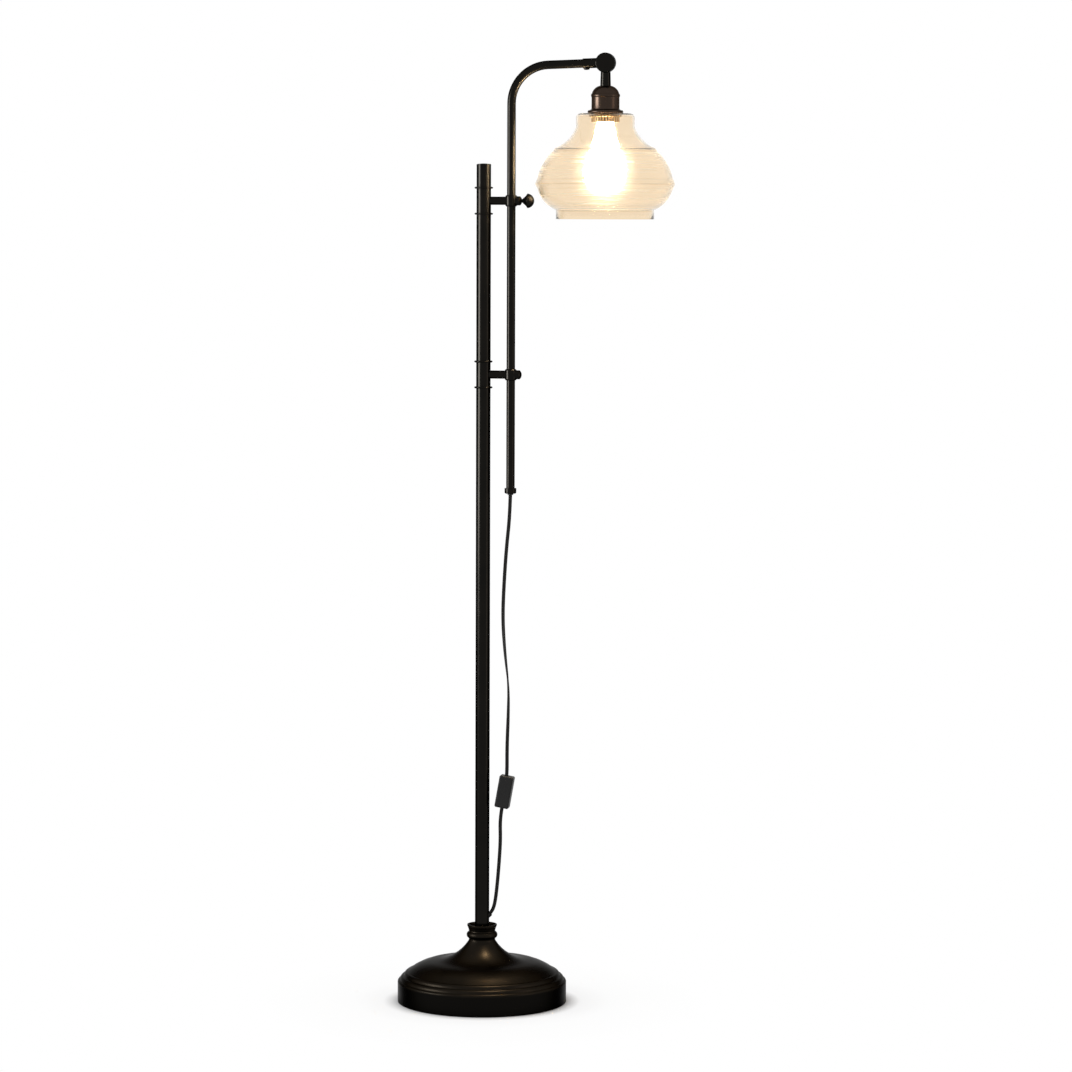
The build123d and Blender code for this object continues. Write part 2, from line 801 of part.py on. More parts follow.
def make_socket_shell():
    return on_head(tube(SHELL_R, SHELL_R - SHELL_T, socket_roof_z - SHELL_L, socket_roof_z))


def make_socket_contact():
    return on_head(bar(CONTACT_R, socket_roof_z - CONTACT_T, socket_roof_z))


def make_shade_ring():
    flange_low = shade_seat_z - RING_FLANGE_T
    hole_r = SOCKET_R + SNUG
    ring = turned(
        (hole_r, socket_low_z),
        (RING_BODY_R, socket_low_z),
        (RING_BODY_R, flange_low),
        (RING_FLANGE_R, flange_low),
        (RING_FLANGE_R, shade_seat_z),
        (hole_r, shade_seat_z),
    )
    scallop = bar(RING_SCALLOP_R, socket_low_z, flange_low)
    ring -= PolarLocations(RING_BODY_R, RING_SCALLOPS) * scallop
    return on_head(ring)


def shade_outline():
    """Outer line of the glass from the hole in its top to the foot of the straight band."""
    bead_end = SHADE_BODY_DEPTH + SHADE_BEAD_H
    neck_flat_r = SHADE_NECK_R - SHADE_ROUND
    ledge_r = SHADE_FLARE_R + SHADE_LEDGE_W
    ledge_depth = SHADE_FLARE_DEPTH + SHADE_LEDGE_H
    steps = [
        (neck_flat_r, 0),
        (SHADE_NECK_R, SHADE_ROUND, QUARTER_BOW * SHADE_ROUND),
        (SHADE_NECK_R, SHADE_NECK_DEPTH),
        (SHADE_FLARE_R, SHADE_FLARE_DEPTH, -SHADE_FLARE_BOW),
        (ledge_r, ledge_depth, SHADE_LEDGE_BOW),
        (SHADE_BODY_R, SHADE_BODY_DEPTH, SHADE_BODY_BOW),
        (SHADE_BODY_R, bead_end, SHADE_BEAD_BULGE),
        (SHADE_FOOT_R, SHADE_FOOT_DEPTH, SHADE_FOOT_BOW),
        (SHADE_MOUTH_R, SHADE_BAND_DEPTH),
        (SHADE_MOUTH_R, SHADE_H),
    ]
    edges = Curve()
    here = (SHADE_HOLE_R, 0)
    for step in steps:
        start = (here[0], -here[1])
        end = (step[0], -step[1])
        edges += SagittaArc(start, end, step[2]) if len(step) == 3 else Line(start, end)
        here = step
    return edges


def make_glass_shade():
    wall = offset(shade_outline(), GLASS_T, side=Side.RIGHT, closed=True)
    glass = revolve(make_face(Plane.XZ * wall), Axis.Z)
    return Pos(head_x, 0, shade_top_z) * glass


# Bulb


def bulb_profile(inset):
    """Outer or inner line of the bulb's glass from its neck to its foot, as turned steps."""
    foot_z = bulb_tip_z - BULB_L
    middle_z = foot_z + BULB_R
    neck_low_z = bulb_cap_low_z - BULB_NECK_SHOWN
    radius = BULB_R - inset
    tilt = radians(BULB_SHOULDER_ANGLE)
    shoulder = (radius * cos(tilt), middle_z + radius * sin(tilt))
    belly = radius * (1 - cos((pi / 2 + tilt) / 2))
    return [
        (BULB_NECK_R - inset, neck_low_z),
        (*shoulder, -BULB_NECK_BOW),
        (0, middle_z - radius, belly),
    ]


def make_bulb_glass():
    neck_top = bulb_tip_z - BULB_TIP_H - BULB_CAP_T
    solid = turned((0, neck_top), (BULB_NECK_R, neck_top), *bulb_profile(0))
    inner_r = BULB_NECK_R - BULB_GLASS_T
    hollow = turned((0, neck_top), (inner_r, neck_top), *bulb_profile(BULB_GLASS_T))
    return on_head(solid - hollow)


def make_bulb_cap():
    skirt_top = bulb_tip_z - BULB_TIP_H
    inner_r = BULB_CAP_R - BULB_CAP_T
    return on_head(
        turned(
            (0, bulb_tip_z),
            (BULB_TIP_R, bulb_tip_z),
            (BULB_CAP_R, skirt_top, BULB_TIP_BOW),
            (BULB_CAP_R, bulb_cap_low_z),
            (inner_r, bulb_cap_low_z),
            (inner_r, skirt_top - BULB_CAP_T),
            (0, skirt_top - BULB_CAP_T),
        )
    )


def make_bulb_filament():
    """Glass stem with two star-shaped hooks and the strands strung between them."""
    top = bulb_tip_z - BULB_TIP_H - BULB_CAP_T
    low = top - FILAMENT_STEM_L
    high_hook = top - FILAMENT_TOP_AT
    stem = bar(FILAMENT_STEM_R, low, top)
    hooks = bar(FILAMENT_TOP_R + FILAMENT_R, high_hook, high_hook + HOOK_T)
    hooks += bar(FILAMENT_FOOT_R + FILAMENT_R, low, low + HOOK_T)
    strand_foot = (FILAMENT_FOOT_R, 0, low + HOOK_T / 2)
    strand_top = (FILAMENT_TOP_R, 0, high_hook + HOOK_T / 2)
    strand = swept_round(Line(strand_foot, strand_top), FILAMENT_R)
    mount = stem + hooks
    for turn in range(FILAMENT_STRANDS):
        mount += Rot(0, 0, turn * 360 / FILAMENT_STRANDS) * strand
    return on_head(mount)


# Cord and switch


def at_switch(shape):
    return Pos(*SWITCH_AT) * Rot(0, SWITCH_TILT, 0) * shape


def switch_end(side):
    """Where the cord stops inside the switch's upper or lower end."""
    reach = side * (SWITCH_L / 2 - FUNNEL_DEPTH + CORD_END_GAP)
    tilt = radians(SWITCH_TILT)
    return (SWITCH_AT[0] + reach * sin(tilt), SWITCH_AT[1], SWITCH_AT[2] + reach * cos(tilt))


def cord_tube(name, points):
    """Round cord of straight runs joined by the widest arcs that the runs allow."""
    corners = [Vector(*point) for point in points]
    radii = []
    for before, here, after in zip(corners, corners[1:], corners[2:]):
        turn = radians((here - before).get_angle(after - here))
        shorter = min((here - before).length, (after - here).length)
        radii.append(CORD_ARC_SHARE * shorter / tan(turn / 2))
    path = FilletPolyline(*corners, radius=radii)
    print(name, "length", round(path.length, 1), "radii", [round(radius) for radius in radii])
    cord = swept_round(path, CORD_R)
    print(name, "volume share", round(cord.volume / (pi * CORD_R**2 * path.length), 4))
    return cord


def make_cord_upper():
    return cord_tube("cord_upper", [*UPPER_ROUTE, switch_end(1)])


def make_cord_lower():
    entry = [entry_point(GROMMET_OUT + ENTRY_RUN), entry_point(-GROMMET_IN)]
    return cord_tube("cord_lower", [switch_end(-1), *LOWER_ROUTE, *entry])


def make_cord_bushing():
    low = end_cap_low_z - BUSHING_DROP
    sleeve = bar(BUSHING_R, low, TUBE_END_Z)
    flange = bar(BUSHING_FLANGE_R, TUBE_END_Z, TUBE_END_Z + BUSHING_FLANGE_T)
    hole = bar(CORD_R + FREE / 2, low, TUBE_END_Z + BUSHING_FLANGE_T)
    return Pos(TUBE_OFFSET, 0, 0) * (sleeve + flange - hole)


def switch_half(side):
    """Half of the switch's case, on the -Y or +Y side, with half of each cord funnel."""
    case = Box(SWITCH_W, SWITCH_HALF_T, SWITCH_L, align=(Align.CENTER, Align.MIN, Align.CENTER))
    if side < 0:
        case = Rot(0, 0, 180) * case
    outside = [edge for edge in case.edges() if abs(edge.center().Y) > SNUG]
    case = fillet(outside, SWITCH_ROUND)
    inner_r = CORD_R + FREE
    for end in (0, 180):
        funnel = turned(
            (0, SWITCH_L / 2 - FUNNEL_DEPTH),
            (inner_r, SWITCH_L / 2 - FUNNEL_DEPTH),
            (FUNNEL_MOUTH_R, SWITCH_L / 2),
            (0, SWITCH_L / 2),
        )
        case -= Rot(end, 0, 0) * funnel
    return case - switch_screws(SNUG)


def switch_screws(grow):
    """Two countersunk screws that hold the switch's halves together, from the back."""
    top = SWITCH_HALF_T
    screw = turned(
        (0, top),
        (SWITCH_SCREW_HEAD_R + grow, top),
        (SWITCH_SCREW_R + grow, top - SWITCH_SCREW_HEAD_T),
        (SWITCH_SCREW_R + grow, top - SWITCH_SCREW_L),
        (0, top - SWITCH_SCREW_L),
    )
    screw = along_y(screw)
    return [
        Pos(side * SWITCH_SCREW_X, 0, side * SWITCH_SCREW_Z) * screw
        for side in (-1, 1)
    ]


def make_switch_front():
    return at_switch(switch_half(-1))


def make_switch_back():
    back = switch_half(1)
    floor_y = ROCKER_PIVOT_Y - ROCKER_PIN_R - FREE
    window_l = ROCKER_L + 2 * ROCKER_PIN_R
    window = Box(
        ROCKER_W + 2 * FREE,
        SWITCH_HALF_T,
        window_l,
        align=(Align.CENTER, Align.MIN, Align.CENTER),
    )
    pin_reach = ROCKER_PIN_L / 2 + FREE
    pin_hole = along_x(bar(ROCKER_PIN_R + RUNNING, -pin_reach, pin_reach))
    back -= Pos(0, floor_y - ROCKER_CREST, 0) * window
    back -= Pos(0, ROCKER_PIVOT_Y, 0) * pin_hole
    return at_switch(back)


def make_switch_screws():
    return at_switch(Compound(children=switch_screws(0)))


def make_switch_rocker():
    """Rocker with a shallow valley across its top, pressed in at its upper end."""
    half_l = ROCKER_L / 2
    top = SWITCH_HALF_T - ROCKER_PIVOT_Y
    side_view = Polyline(
        (-half_l, top + ROCKER_CREST),
        (0, top),
        (half_l, top + ROCKER_CREST),
        (half_l, top - ROCKER_CREST),
        (2 * ROCKER_PIN_R, -ROCKER_PIN_R),
        (-2 * ROCKER_PIN_R, -ROCKER_PIN_R),
        (-half_l, top - ROCKER_CREST),
        close=True,
    )
    body = extrude(make_face(Plane.XY * side_view), ROCKER_W / 2, both=True)
    body += bar(ROCKER_PIN_R, -ROCKER_PIN_L / 2, ROCKER_PIN_L / 2)
    upright = Plane((0, 0, 0), x_dir=(0, 0, -1), z_dir=(1, 0, 0))
    rocker = Rot(ROCKER_THROW, 0, 0) * (upright.location * body)
    return at_switch(Pos(0, ROCKER_PIVOT_Y, 0) * rocker)


def make_pole_lead():
    """Lead inside the pole, down the nipple and out along the groove in the weight."""
    start = Vector(*entry_point(-GROMMET_IN))
    bend_z = start.Z - start.X / tan(radians(ENTRY_TILT))
    bend = Vector(0, 0, bend_z)
    bend_r = CORD_ARC_SHARE * (bend - start).length / tan(radians(ENTRY_TILT / 2))
    path = FilletPolyline(
        start,
        bend,
        (0, 0, OUTLET_Z),
        (0, RIM_R, OUTLET_Z),
        radius=[bend_r, LEAD_BEND_R],
    )
    return swept_round(path, LEAD_R)


save("base_shell", make_base_shell())
save("base_weight", make_base_weight())
save("floor_pad", make_floor_pad())
save("base_nipple", make_base_nipple())
save("base_nut", make_base_nut())
save("base_washer", make_base_washer())
save("neck_bead", make_neck_bead())
save("pole_cup", make_pole_cup())
save("outlet_bushing", make_outlet_bushing())
save("lower_pole", make_lower_pole())
save("middle_pole", make_middle_pole())
save("upper_pole", make_upper_pole())
save("pole_cap", make_pole_cap())
save("pole_foot", make_pole_foot())
for number, height in enumerate(ring_heights, start=1):
    save(f"pole_ring_{number}", make_pole_ring(height))
spigots = [make_spigot(height, side) for height, side in zip(ring_heights, (-1, 1, -1, 1))]
save("pole_spigots", Compound(children=spigots))
save("lower_bracket_block", make_bracket_block(LOW_BRACKET_Z))
save("upper_bracket_block", make_bracket_block(UP_BRACKET_Z))
save("lower_bracket", make_bracket(LOW_BRACKET_Z, drilled=False))
save("upper_bracket", make_bracket(UP_BRACKET_Z, drilled=True))
save("cord_grommet", make_cord_grommet())
save("pole_lead", make_pole_lead())
save("cord_lower", make_cord_lower())
save("clamp_pad", make_clamp_pad())
save("thumb_screw", make_thumb_screw())
save("cord_bushing", make_cord_bushing())
save("cord_upper", make_cord_upper())
save("switch_front", make_switch_front())
save("switch_back", make_switch_back())
save("switch_screws", make_switch_screws())
save("switch_rocker", make_switch_rocker())
save("arm_tube", make_arm_tube())
save("arm_lead", make_arm_lead())
save("tube_end_cap", make_tube_end_cap())
save("arm_knuckle", make_arm_knuckle())
save("ferrule_screw", make_ferrule_screw())
save("pivot_bolt", make_pivot_bolt())
save("spring_washer", make_spring_washer())
save("friction_washer", make_friction_washer())
save("head_knuckle", make_head_knuckle())
save("head_lead", make_head_lead())
save("socket_nipple", make_socket_nipple())
save("socket_husk", make_socket_husk())
save("socket_body", make_socket_body())
save("socket_shell", make_socket_shell())
save("socket_contact", make_socket_contact())
save("shade_ring", make_shade_ring())
save("glass_shade", make_glass_shade())
save("bulb_glass", make_bulb_glass())
save("bulb_cap", make_bulb_cap())
save("bulb_filament", make_bulb_filament())
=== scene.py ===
import json
from math import asin, cos, pi, radians, sin, sqrt, tau

import bpy
from mathutils import Matrix, Vector


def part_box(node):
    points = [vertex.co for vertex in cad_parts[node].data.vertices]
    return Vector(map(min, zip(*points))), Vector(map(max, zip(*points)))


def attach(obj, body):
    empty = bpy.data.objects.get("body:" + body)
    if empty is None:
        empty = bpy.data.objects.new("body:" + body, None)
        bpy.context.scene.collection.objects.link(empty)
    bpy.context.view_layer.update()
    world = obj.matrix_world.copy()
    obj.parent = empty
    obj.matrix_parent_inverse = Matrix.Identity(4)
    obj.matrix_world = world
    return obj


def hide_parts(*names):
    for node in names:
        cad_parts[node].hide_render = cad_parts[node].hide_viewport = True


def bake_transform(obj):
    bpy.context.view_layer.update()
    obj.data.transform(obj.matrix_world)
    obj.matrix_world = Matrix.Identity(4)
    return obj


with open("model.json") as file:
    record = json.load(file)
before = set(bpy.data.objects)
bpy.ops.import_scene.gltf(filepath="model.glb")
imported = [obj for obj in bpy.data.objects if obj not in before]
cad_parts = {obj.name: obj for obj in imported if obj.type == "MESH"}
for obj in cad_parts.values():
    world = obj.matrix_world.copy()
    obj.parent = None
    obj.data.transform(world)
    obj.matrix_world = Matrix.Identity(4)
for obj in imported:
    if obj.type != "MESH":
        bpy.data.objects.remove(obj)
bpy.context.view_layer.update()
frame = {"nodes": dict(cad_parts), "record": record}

# Pharmacy floor lamp. Sizes are written in millimetres and become metres through MM.
# The pole stands on the Z axis, the floor is Z = 0, and the arm reaches out along +X.
MM = 0.001

# The photograph's camera
IMAGE_PX = 1072
FOCAL_PX = 3960
SENSOR_WIDTH = 36.0
POLE_PX = 482.8
CAMERA_AZIMUTH = radians(10.0)
CAMERA_PITCH = radians(4.78)
CAMERA_ROLL = radians(0.2)
CAMERA_DISTANCE = 6040.0
CAMERA_HEIGHT = 1226.0

# How finely round work is cut. Below, a bow is the height of an arc over its chord,
# and an ease is the width of a rounded edge.
TURNS = 128
ARC_STEP = radians(7)
QUARTER_BOW = 1 - sqrt(0.5)
MERGE = 0.002
SMOOTH_ANGLE = radians(34)

# Base
RIM_LIFT = 0.6
RIM_H = 30.0
SHOULDER_W = 3.0
SHOULDER_H = 4.4
SHOULDER_BOW = 1.1
STEP_LEDGE_W = 0.5
STEP_LEDGE_H = 0.2
STEP_W = 5.7
STEP_H = 5.9
STEP_BOW = 1.6
DOME_H = 15.9
DOME_BOW = 2.7
FLARE_R = 78.0
FLARE_BOW = 8.6
NECK_R = 20.3
NECK_RISE = 1.6
NIPPLE_R = 8.0
SHELL_WALL = 1.6
SHELL_EASE = 0.35

# Neck
POLE_R = 11.02
BEAD_LIP = 1.5
BEAD_BULGE = 3.5
BEAD_EASE = 0.4
CUP_LIP = 2.0
CUP_BOW = 0.3
CUP_WELL = 4.0
CUP_WELL_BOW = 1.0
CUP_FLOOR = 2.6
CUP_EASE = 0.5

# Head
HUSK_R = 21.1
HUSK_BORE_R = 19.8
HUSK_NECK_R = 9.5
HUSK_DOME_H = 12.0
HUSK_DOME_BOW = 2.2
HUSK_BEAD_H = 5.0
HUSK_BEAD_BOW = 0.9
HUSK_BEAD_STEP = 0.3
HUSK_FLANGE_H = 4.6
HUSK_FLANGE_BOW = 0.9
HUSK_SWEEP_H = 2.4
HUSK_SWEEP_BOW = 0.7
HUSK_WALL = 1.3
HUSK_EASE = 0.3
STEM_BORE_R = 7.0
RING_BORE_R = 19.02
RING_COLLAR_R = 21.5
RING_FLANGE_T = 2.2
RING_CHAMFER = 0.5
RING_GROOVE = 0.9
KNURLS = 30
KNURL_COLUMNS = 4
KNURL_CUT = 0.92

# Glass: radii, and depths below its top
FITTER_R = 20.0
CROWN_R = 37.8
CROWN_ROUND = 6.5
WAIST_R = 44.3
WAIST_FOOT = 20.3
WAIST_BOW = 4.8
LEDGE_R = 75.0
LEDGE_Z = 51.9
SHELF_R = 78.0
SHELF_Z = 55.9
SHELF_BOW = 0.7
BELLY_R = 102.6
BELLY_BOW = 4.0
BEAD_Z = 105.6
BEAD_HALF = 6.8
BEAD_OUT = 2.8
BEAD_BOW = 0.5
FOOT_R = 77.0
FOOT_Z = 144.2
FOOT_BOW = 4.3
BAND_R = 74.2
BAND_Z = 147.0
BAND_BOW = 0.8
SHADE_H = 159.0
GLASS_T = 2.8
GLASS_EASE = 0.5

# Darker lines painted round the glass along its ridges and grooves, as painted shade for the dark edges
# these show: depth, half width, and how strong it is
RIDGE_SHADE_LINES = [
    (51.6, 0.9, 0.75),
    (56.2, 1.1, 1.0),
    (65.0, 1.0, 0.35),
    (99.0, 0.9, 0.45),
    (106.0, 1.2, 0.85),
    (112.6, 0.8, 0.35),
    (141.0, 0.9, 0.4),
    (147.0, 0.9, 0.6),
]

# Roughness of the glass by depth: finely rippled over the belly, clear above and below it
CLEAR = 0.08
RIPPLED = 0.25
RIPPLES = [
    (LEDGE_Z - 12.0, CLEAR),
    (SHELF_Z + 4.0, RIPPLED),
    (FOOT_Z - 8.0, RIPPLED),
    (BAND_Z, CLEAR),
]

# Thin moulding waves that run round the glass: how many to a metre along X, Y and Z,
# how much they tint and roughen the glass, and how deep they are
WAVE_RATE = (6, 6, 210)
WAVE_TINT = 0.3
WAVE_ROUGHNESS = 0.36
WAVE_DEPTH = 0.3
WAVE_BUMP = 0.4

# Bulb
BULB_R = 27.86
BULB_BELLY_H = 42.9
BULB_BOW = 13.89
BULB_NECK_R = 12.4
BULB_NECK_H = 105.6
BULB_NECK_BOW = 1.2
BULB_WALL = 0.8

# Thumb screw
SHANK_R = 2.8
SHANK_CHAMFER = 0.6
KNOB_H = 17.0
KNOB_NECK_R = 3.9
KNOB_R = 10.8
KNOB_CONE_H = 6.7
KNOB_CONE_BOW = 0.6
KNOB_EDGE_H = 1.6
KNOB_EDGE_BOW = 0.3
KNOB_DOME_BOW = 2.45
KNOB_EASE = 0.25

# Cord: flat twin lead, its twist by height and its route from the thin tube down to the pole
CORD_W = 5.5
CORD_T = 2.8
CORD_CUTS = 12
CORE_STEPS = 5
CORE_STEP = radians(26)
TWIST_TOP = 640.0
TWIST_FOOT = 360.0
SWITCH_TOP = (38.56, 0.0, 347.78)
CORD_ENTRY = (15.67, 0.0, 139.67)
CORD_ROUTE = [
    (42.5, 0.0, 789.5),
    (41.6, 0.2, 752.0),
    (36.4, 1.0, 704.0),
    (32.6, 1.6, 648.0),
    (30.8, 0.6, 594.0),
    (34.8, -0.8, 540.0),
    (41.0, -1.2, 490.0),
    (40.0, 0.0, 440.0),
    (38.2, 0.4, 396.0),
    SWITCH_TOP,
    (31.24, 0.0, 306.22),
    (27.8, -0.4, 281.0),
    (28.6, 0.0, 252.0),
    (26.2, 0.5, 214.0),
    (23.2, 0.2, 178.0),
    (20.2, 0.0, 153.5),
    CORD_ENTRY,
    (7.82, 0.0, 131.82),
]

# Colours in linear light. Tones are the two colours that a finish is clouded between.
POLE_TONES = ((0.0063, 0.0065, 0.0060, 1), (0.0115, 0.0102, 0.0088, 1))
BASE_TONES = ((0.0065, 0.0058, 0.0046, 1), (0.0150, 0.0118, 0.0086, 1))
# The husk's tones are the bronze made lighter and warmer: painted warm light from the lit glass below it.
HUSK_GLOW_TONES = ((0.029, 0.0205, 0.0155, 1), (0.043, 0.030, 0.023, 1))
RING_SHADE_AND_GLINT_TONES = ((0.030, 0.022, 0.014, 1), (0.72, 0.56, 0.36, 1))
PLASTIC_TONES = ((0.004, 0.004, 0.0042, 1), (0.010, 0.0098, 0.0095, 1))
JACKET_TONES = ((0.003, 0.003, 0.003, 1), (0.010, 0.0096, 0.009, 1))
BRASS_TONES = ((0.62, 0.42, 0.16, 1), (0.80, 0.60, 0.28, 1))
STEEL_TONES = ((0.42, 0.42, 0.43, 1), (0.60, 0.60, 0.59, 1))
IRON_TONES = ((0.035, 0.034, 0.033, 1), (0.11, 0.105, 0.10, 1))
FELT_TONES = ((0.012, 0.014, 0.012, 1), (0.045, 0.05, 0.045, 1))
BULB_TONES = ((1.0, 0.80, 0.52, 1), (1.0, 0.86, 0.62, 1))
BULB_TINT = (1.0, 0.95, 0.86, 1)
FILAMENT_TONES = ((1.0, 0.55, 0.22, 1), (1.0, 0.72, 0.40, 1))
FILAMENT_WIRE = (0.2, 0.12, 0.07, 1)
# The glass's peach tone is partly its own tint and partly painted warm light from the bulb, whose lamp is
# kept off the glass.
GLASS_PEACH_GLOW = (0.970, 0.878, 0.742, 1)
GLASS_LINE = (0.80, 0.66, 0.50, 1)

# The base's upright rim is painted darker, as painted shade, and fades into the base's tones between these
# heights.
RIM_PAINTED_SHADE = (0.0052, 0.0048, 0.0042, 1)
RIM_SHADE_FADE = (RIM_H - 1.0, RIM_H + 3.0)

# Stage and light, with powers in watts
FLOOR_R = 9000.0
FLOOR_CORNERS = 96
FLOOR_GREY = 0.86
SKY_LIGHT = 0.42
SEEN_RAYS = ("Is Camera Ray", "Is Glossy Ray", "Is Transmission Ray")
SOFT_BOX_DISTANCE = 2600.0
BULB_POWER = 50.0
BULB_LIGHT = (1.0, 0.78, 0.52)
BULB_LIGHT_R = 45.0

# How far the floor has faded to white at a distance from the pole's axis
FLOOR_FADE = [
    (129.0, 0.0),
    (137.0, 0.34),
    (152.0, 0.86),
    (200.0, 0.96),
    (350.0, 1.0),
]


# Places in the frame, in millimetres


def low(node):
    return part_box(node)[0] / MM


def high(node):
    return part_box(node)[1] / MM


def middle(node):
    return (low(node) + high(node)) / 2


def on_head():
    """The point on the floor under the head's axis."""
    return (middle("bulb_glass").x, 0, 0)


# Shader nodes


class Wire:
    """An output socket. Arithmetic on it adds Math nodes to its tree."""

    def __init__(self, nodes, socket):
        self.nodes = nodes
        self.socket = socket

    def __add__(self, other):
        return self.nodes.math("ADD", self, other)

    def __sub__(self, other):
        return self.nodes.math("SUBTRACT", self, other)

    def __rsub__(self, other):
        return self.nodes.math("SUBTRACT", other, self)

    def __mul__(self, other):
        return self.nodes.math("MULTIPLY", self, other)

    def __truediv__(self, other):
        return self.nodes.math("DIVIDE", self, other)

    def __rtruediv__(self, other):
        return self.nodes.math("DIVIDE", other, self)

    __radd__ = __add__
    __rmul__ = __mul__

    def sway(self, amount):
        """A value about one half, brought about zero and scaled."""
        return (self - 0.5) * amount


class Nodes:
    """A node tree under construction."""

    def __init__(self, tree):
        self.tree = tree

    def feed(self, socket, value):
        """Links a wire to an input socket, or sets the socket's own value."""
        if isinstance(value, Wire):
            self.tree.links.new(value.socket, socket)
        else:
            socket.default_value = value

    def add(self, kind, settings=None, sockets=None, output=0):
        """Adds a node, sets it up, fills its sockets and returns one of its outputs."""
        node = self.tree.nodes.new(kind)
        for name, value in (settings or {}).items():
            if name == "stops":
                ramp_stops(node.color_ramp, value)
            else:
                setattr(node, name, value)
        for key, value in (sockets or {}).items():
            self.feed(node.inputs[key], value)
        return Wire(self, node.outputs[output])

    def math(self, operation, *values):
        """What a Math node makes of wires and numbers."""
        return self.add("ShaderNodeMath", {"operation": operation}, dict(enumerate(values)))

    def seen(self):
        """Counts the ways in which a ray shows the surround: straight, in gloss or through glass."""
        straight, gloss, through = (self.add("ShaderNodeLightPath", output=name) for name in SEEN_RAYS)
        return straight + gloss + through


def ramp_stops(ramp, stops):
    """Sets a ramp's stops, each of them a place and a colour."""
    while len(ramp.elements) < len(stops):
        ramp.elements.new(1.0)
    for element, (place, colour) in zip(ramp.elements, stops):
        element.position = place
        element.color = colour


def grey(level):
    return (level, level, level, 1)


# Short names for the Principled surface's sockets
SOCKETS = {
    "base_color": "Base Color",
    "metallic": "Metallic",
    "roughness": "Roughness",
    "ior": "IOR",
    "normal": "Normal",
    "specular": "Specular IOR Level",
    "edge_tint": "Specular Tint",
    "transmission": "Transmission Weight",
    "coat": "Coat Weight",
    "coat_roughness": "Coat Roughness",
    "sheen": "Sheen Weight",
    "sheen_roughness": "Sheen Roughness",
    "emission_color": "Emission Color",
    "emission": "Emission Strength",
}


class Finish(Nodes):
    """A material whose Principled surface is fed by its own nodes."""

    def __init__(self, name, **sockets):
        self.material = bpy.data.materials.new(name)
        self.material.use_nodes = True
        super().__init__(self.material.node_tree)
        self.surface = self.tree.nodes["Principled BSDF"]
        self.set(**sockets)

    def set(self, **sockets):
        """Fills the surface's sockets, under the names in SOCKETS."""
        for name, value in sockets.items():
            self.feed(self.surface.inputs[SOCKETS[name]], value)

    def place(self):
        """The point on the object, in metres."""
        return self.add("ShaderNodeTexCoord", output="Object")

    def along(self, axis):
        """The point's X, Y or Z, in metres."""
        return self.add("ShaderNodeSeparateXYZ", None, {0: self.place()}, output=axis)

    def noise(self, scale, detail=2.0, roughness=0.5, place=None):
        """Cloudy values about one half, with features of 1 / scale metres."""
        sockets = {"Vector": place or self.place(), "Scale": scale}
        sockets.update({"Detail": detail, "Roughness": roughness})
        return self.add("ShaderNodeTexNoise", None, sockets)

    def ramp(self, stops, value):
        """The colour at a value on a ramp of stops."""
        return self.add("ShaderNodeValToRGB", {"stops": stops}, {0: value})

    def mixed(self, factor, first, second):
        """A colour between two colours."""
        settings = {"data_type": "RGBA"}
        return self.add("ShaderNodeMix", settings, {0: factor, 6: first, 7: second}, output=2)

    def bumped(self, height, depth, strength):
        """A surface normal shaken by a height of 0 to 1 over a depth in millimetres."""
        sockets = {"Height": height, "Distance": depth * MM, "Strength": strength}
        return self.add("ShaderNodeBump", None, sockets)


# Finishes


def bronze_finish(name, tones, satin=0.22, edge=0.42, shade_fade=None):
    """Oil-rubbed bronze: nearly black, clouded between two tones, with a fine orange peel.

    The last argument gives the heights between which a rim darkened with painted shade fades into these
    tones.
    """
    finish = Finish(name, metallic=1.0, edge_tint=grey(edge))
    clouds = finish.noise(26.0, detail=5.0, roughness=0.6)
    specks = finish.noise(420.0)
    tone = finish.mixed(clouds, *tones)
    # Painted shade: below the given heights the tone darkens towards the rim's colour.
    if shade_fade:
        foot, top = shade_fade
        heights = {"Value": finish.along("Z"), "From Min": foot * MM, "From Max": top * MM}
        above = finish.add("ShaderNodeMapRange", {"interpolation_type": "SMOOTHSTEP"}, heights)
        tone = finish.mixed(above, RIM_PAINTED_SHADE, tone)
    finish.set(
        base_color=tone,
        roughness=satin + clouds.sway(0.12) + specks.sway(0.05),
        normal=finish.bumped(specks, 0.008, 0.12),
    )
    return finish.material


def ring_finish():
    """Antique brass, darker in the cuts between the knurls as painted shade and brighter on the knurls as
    a painted highlight of the bulb's glints.
    """
    finish = Finish("antique_brass", metallic=1.0, roughness=0.24)
    aside = finish.along("X") - on_head()[0] * MM
    around = finish.math("ARCTAN2", finish.along("Y"), aside) * KNURLS
    # Painted shade in the cuts and painted highlight on the crests between them.
    knurl = 0.5 - finish.math("COSINE", around) * 0.5
    finish.set(base_color=finish.mixed(knurl, *RING_SHADE_AND_GLINT_TONES))
    return finish.material


def plastic_finish():
    """Black moulded plastic with a fine matt grain."""
    finish = Finish("black_plastic", specular=0.18)
    scuffs = finish.noise(60.0, detail=4.0)
    grain = finish.noise(900.0, detail=3.0)
    finish.set(
        base_color=finish.mixed(scuffs, *PLASTIC_TONES),
        roughness=0.40 + scuffs * 0.16,
        normal=finish.bumped(grain, 0.03, 0.5),
    )
    return finish.material


def cord_finish():
    """Black flexible cord jacket, a little chalky where it has been handled."""
    finish = Finish("cord_jacket", specular=0.15)
    handled = finish.noise(45.0, detail=4.0)
    grain = finish.noise(1500.0)
    finish.set(
        base_color=finish.mixed(handled, *JACKET_TONES),
        roughness=0.48 + handled * 0.2,
        normal=finish.bumped(grain, 0.02, 0.4),
    )
    return finish.material


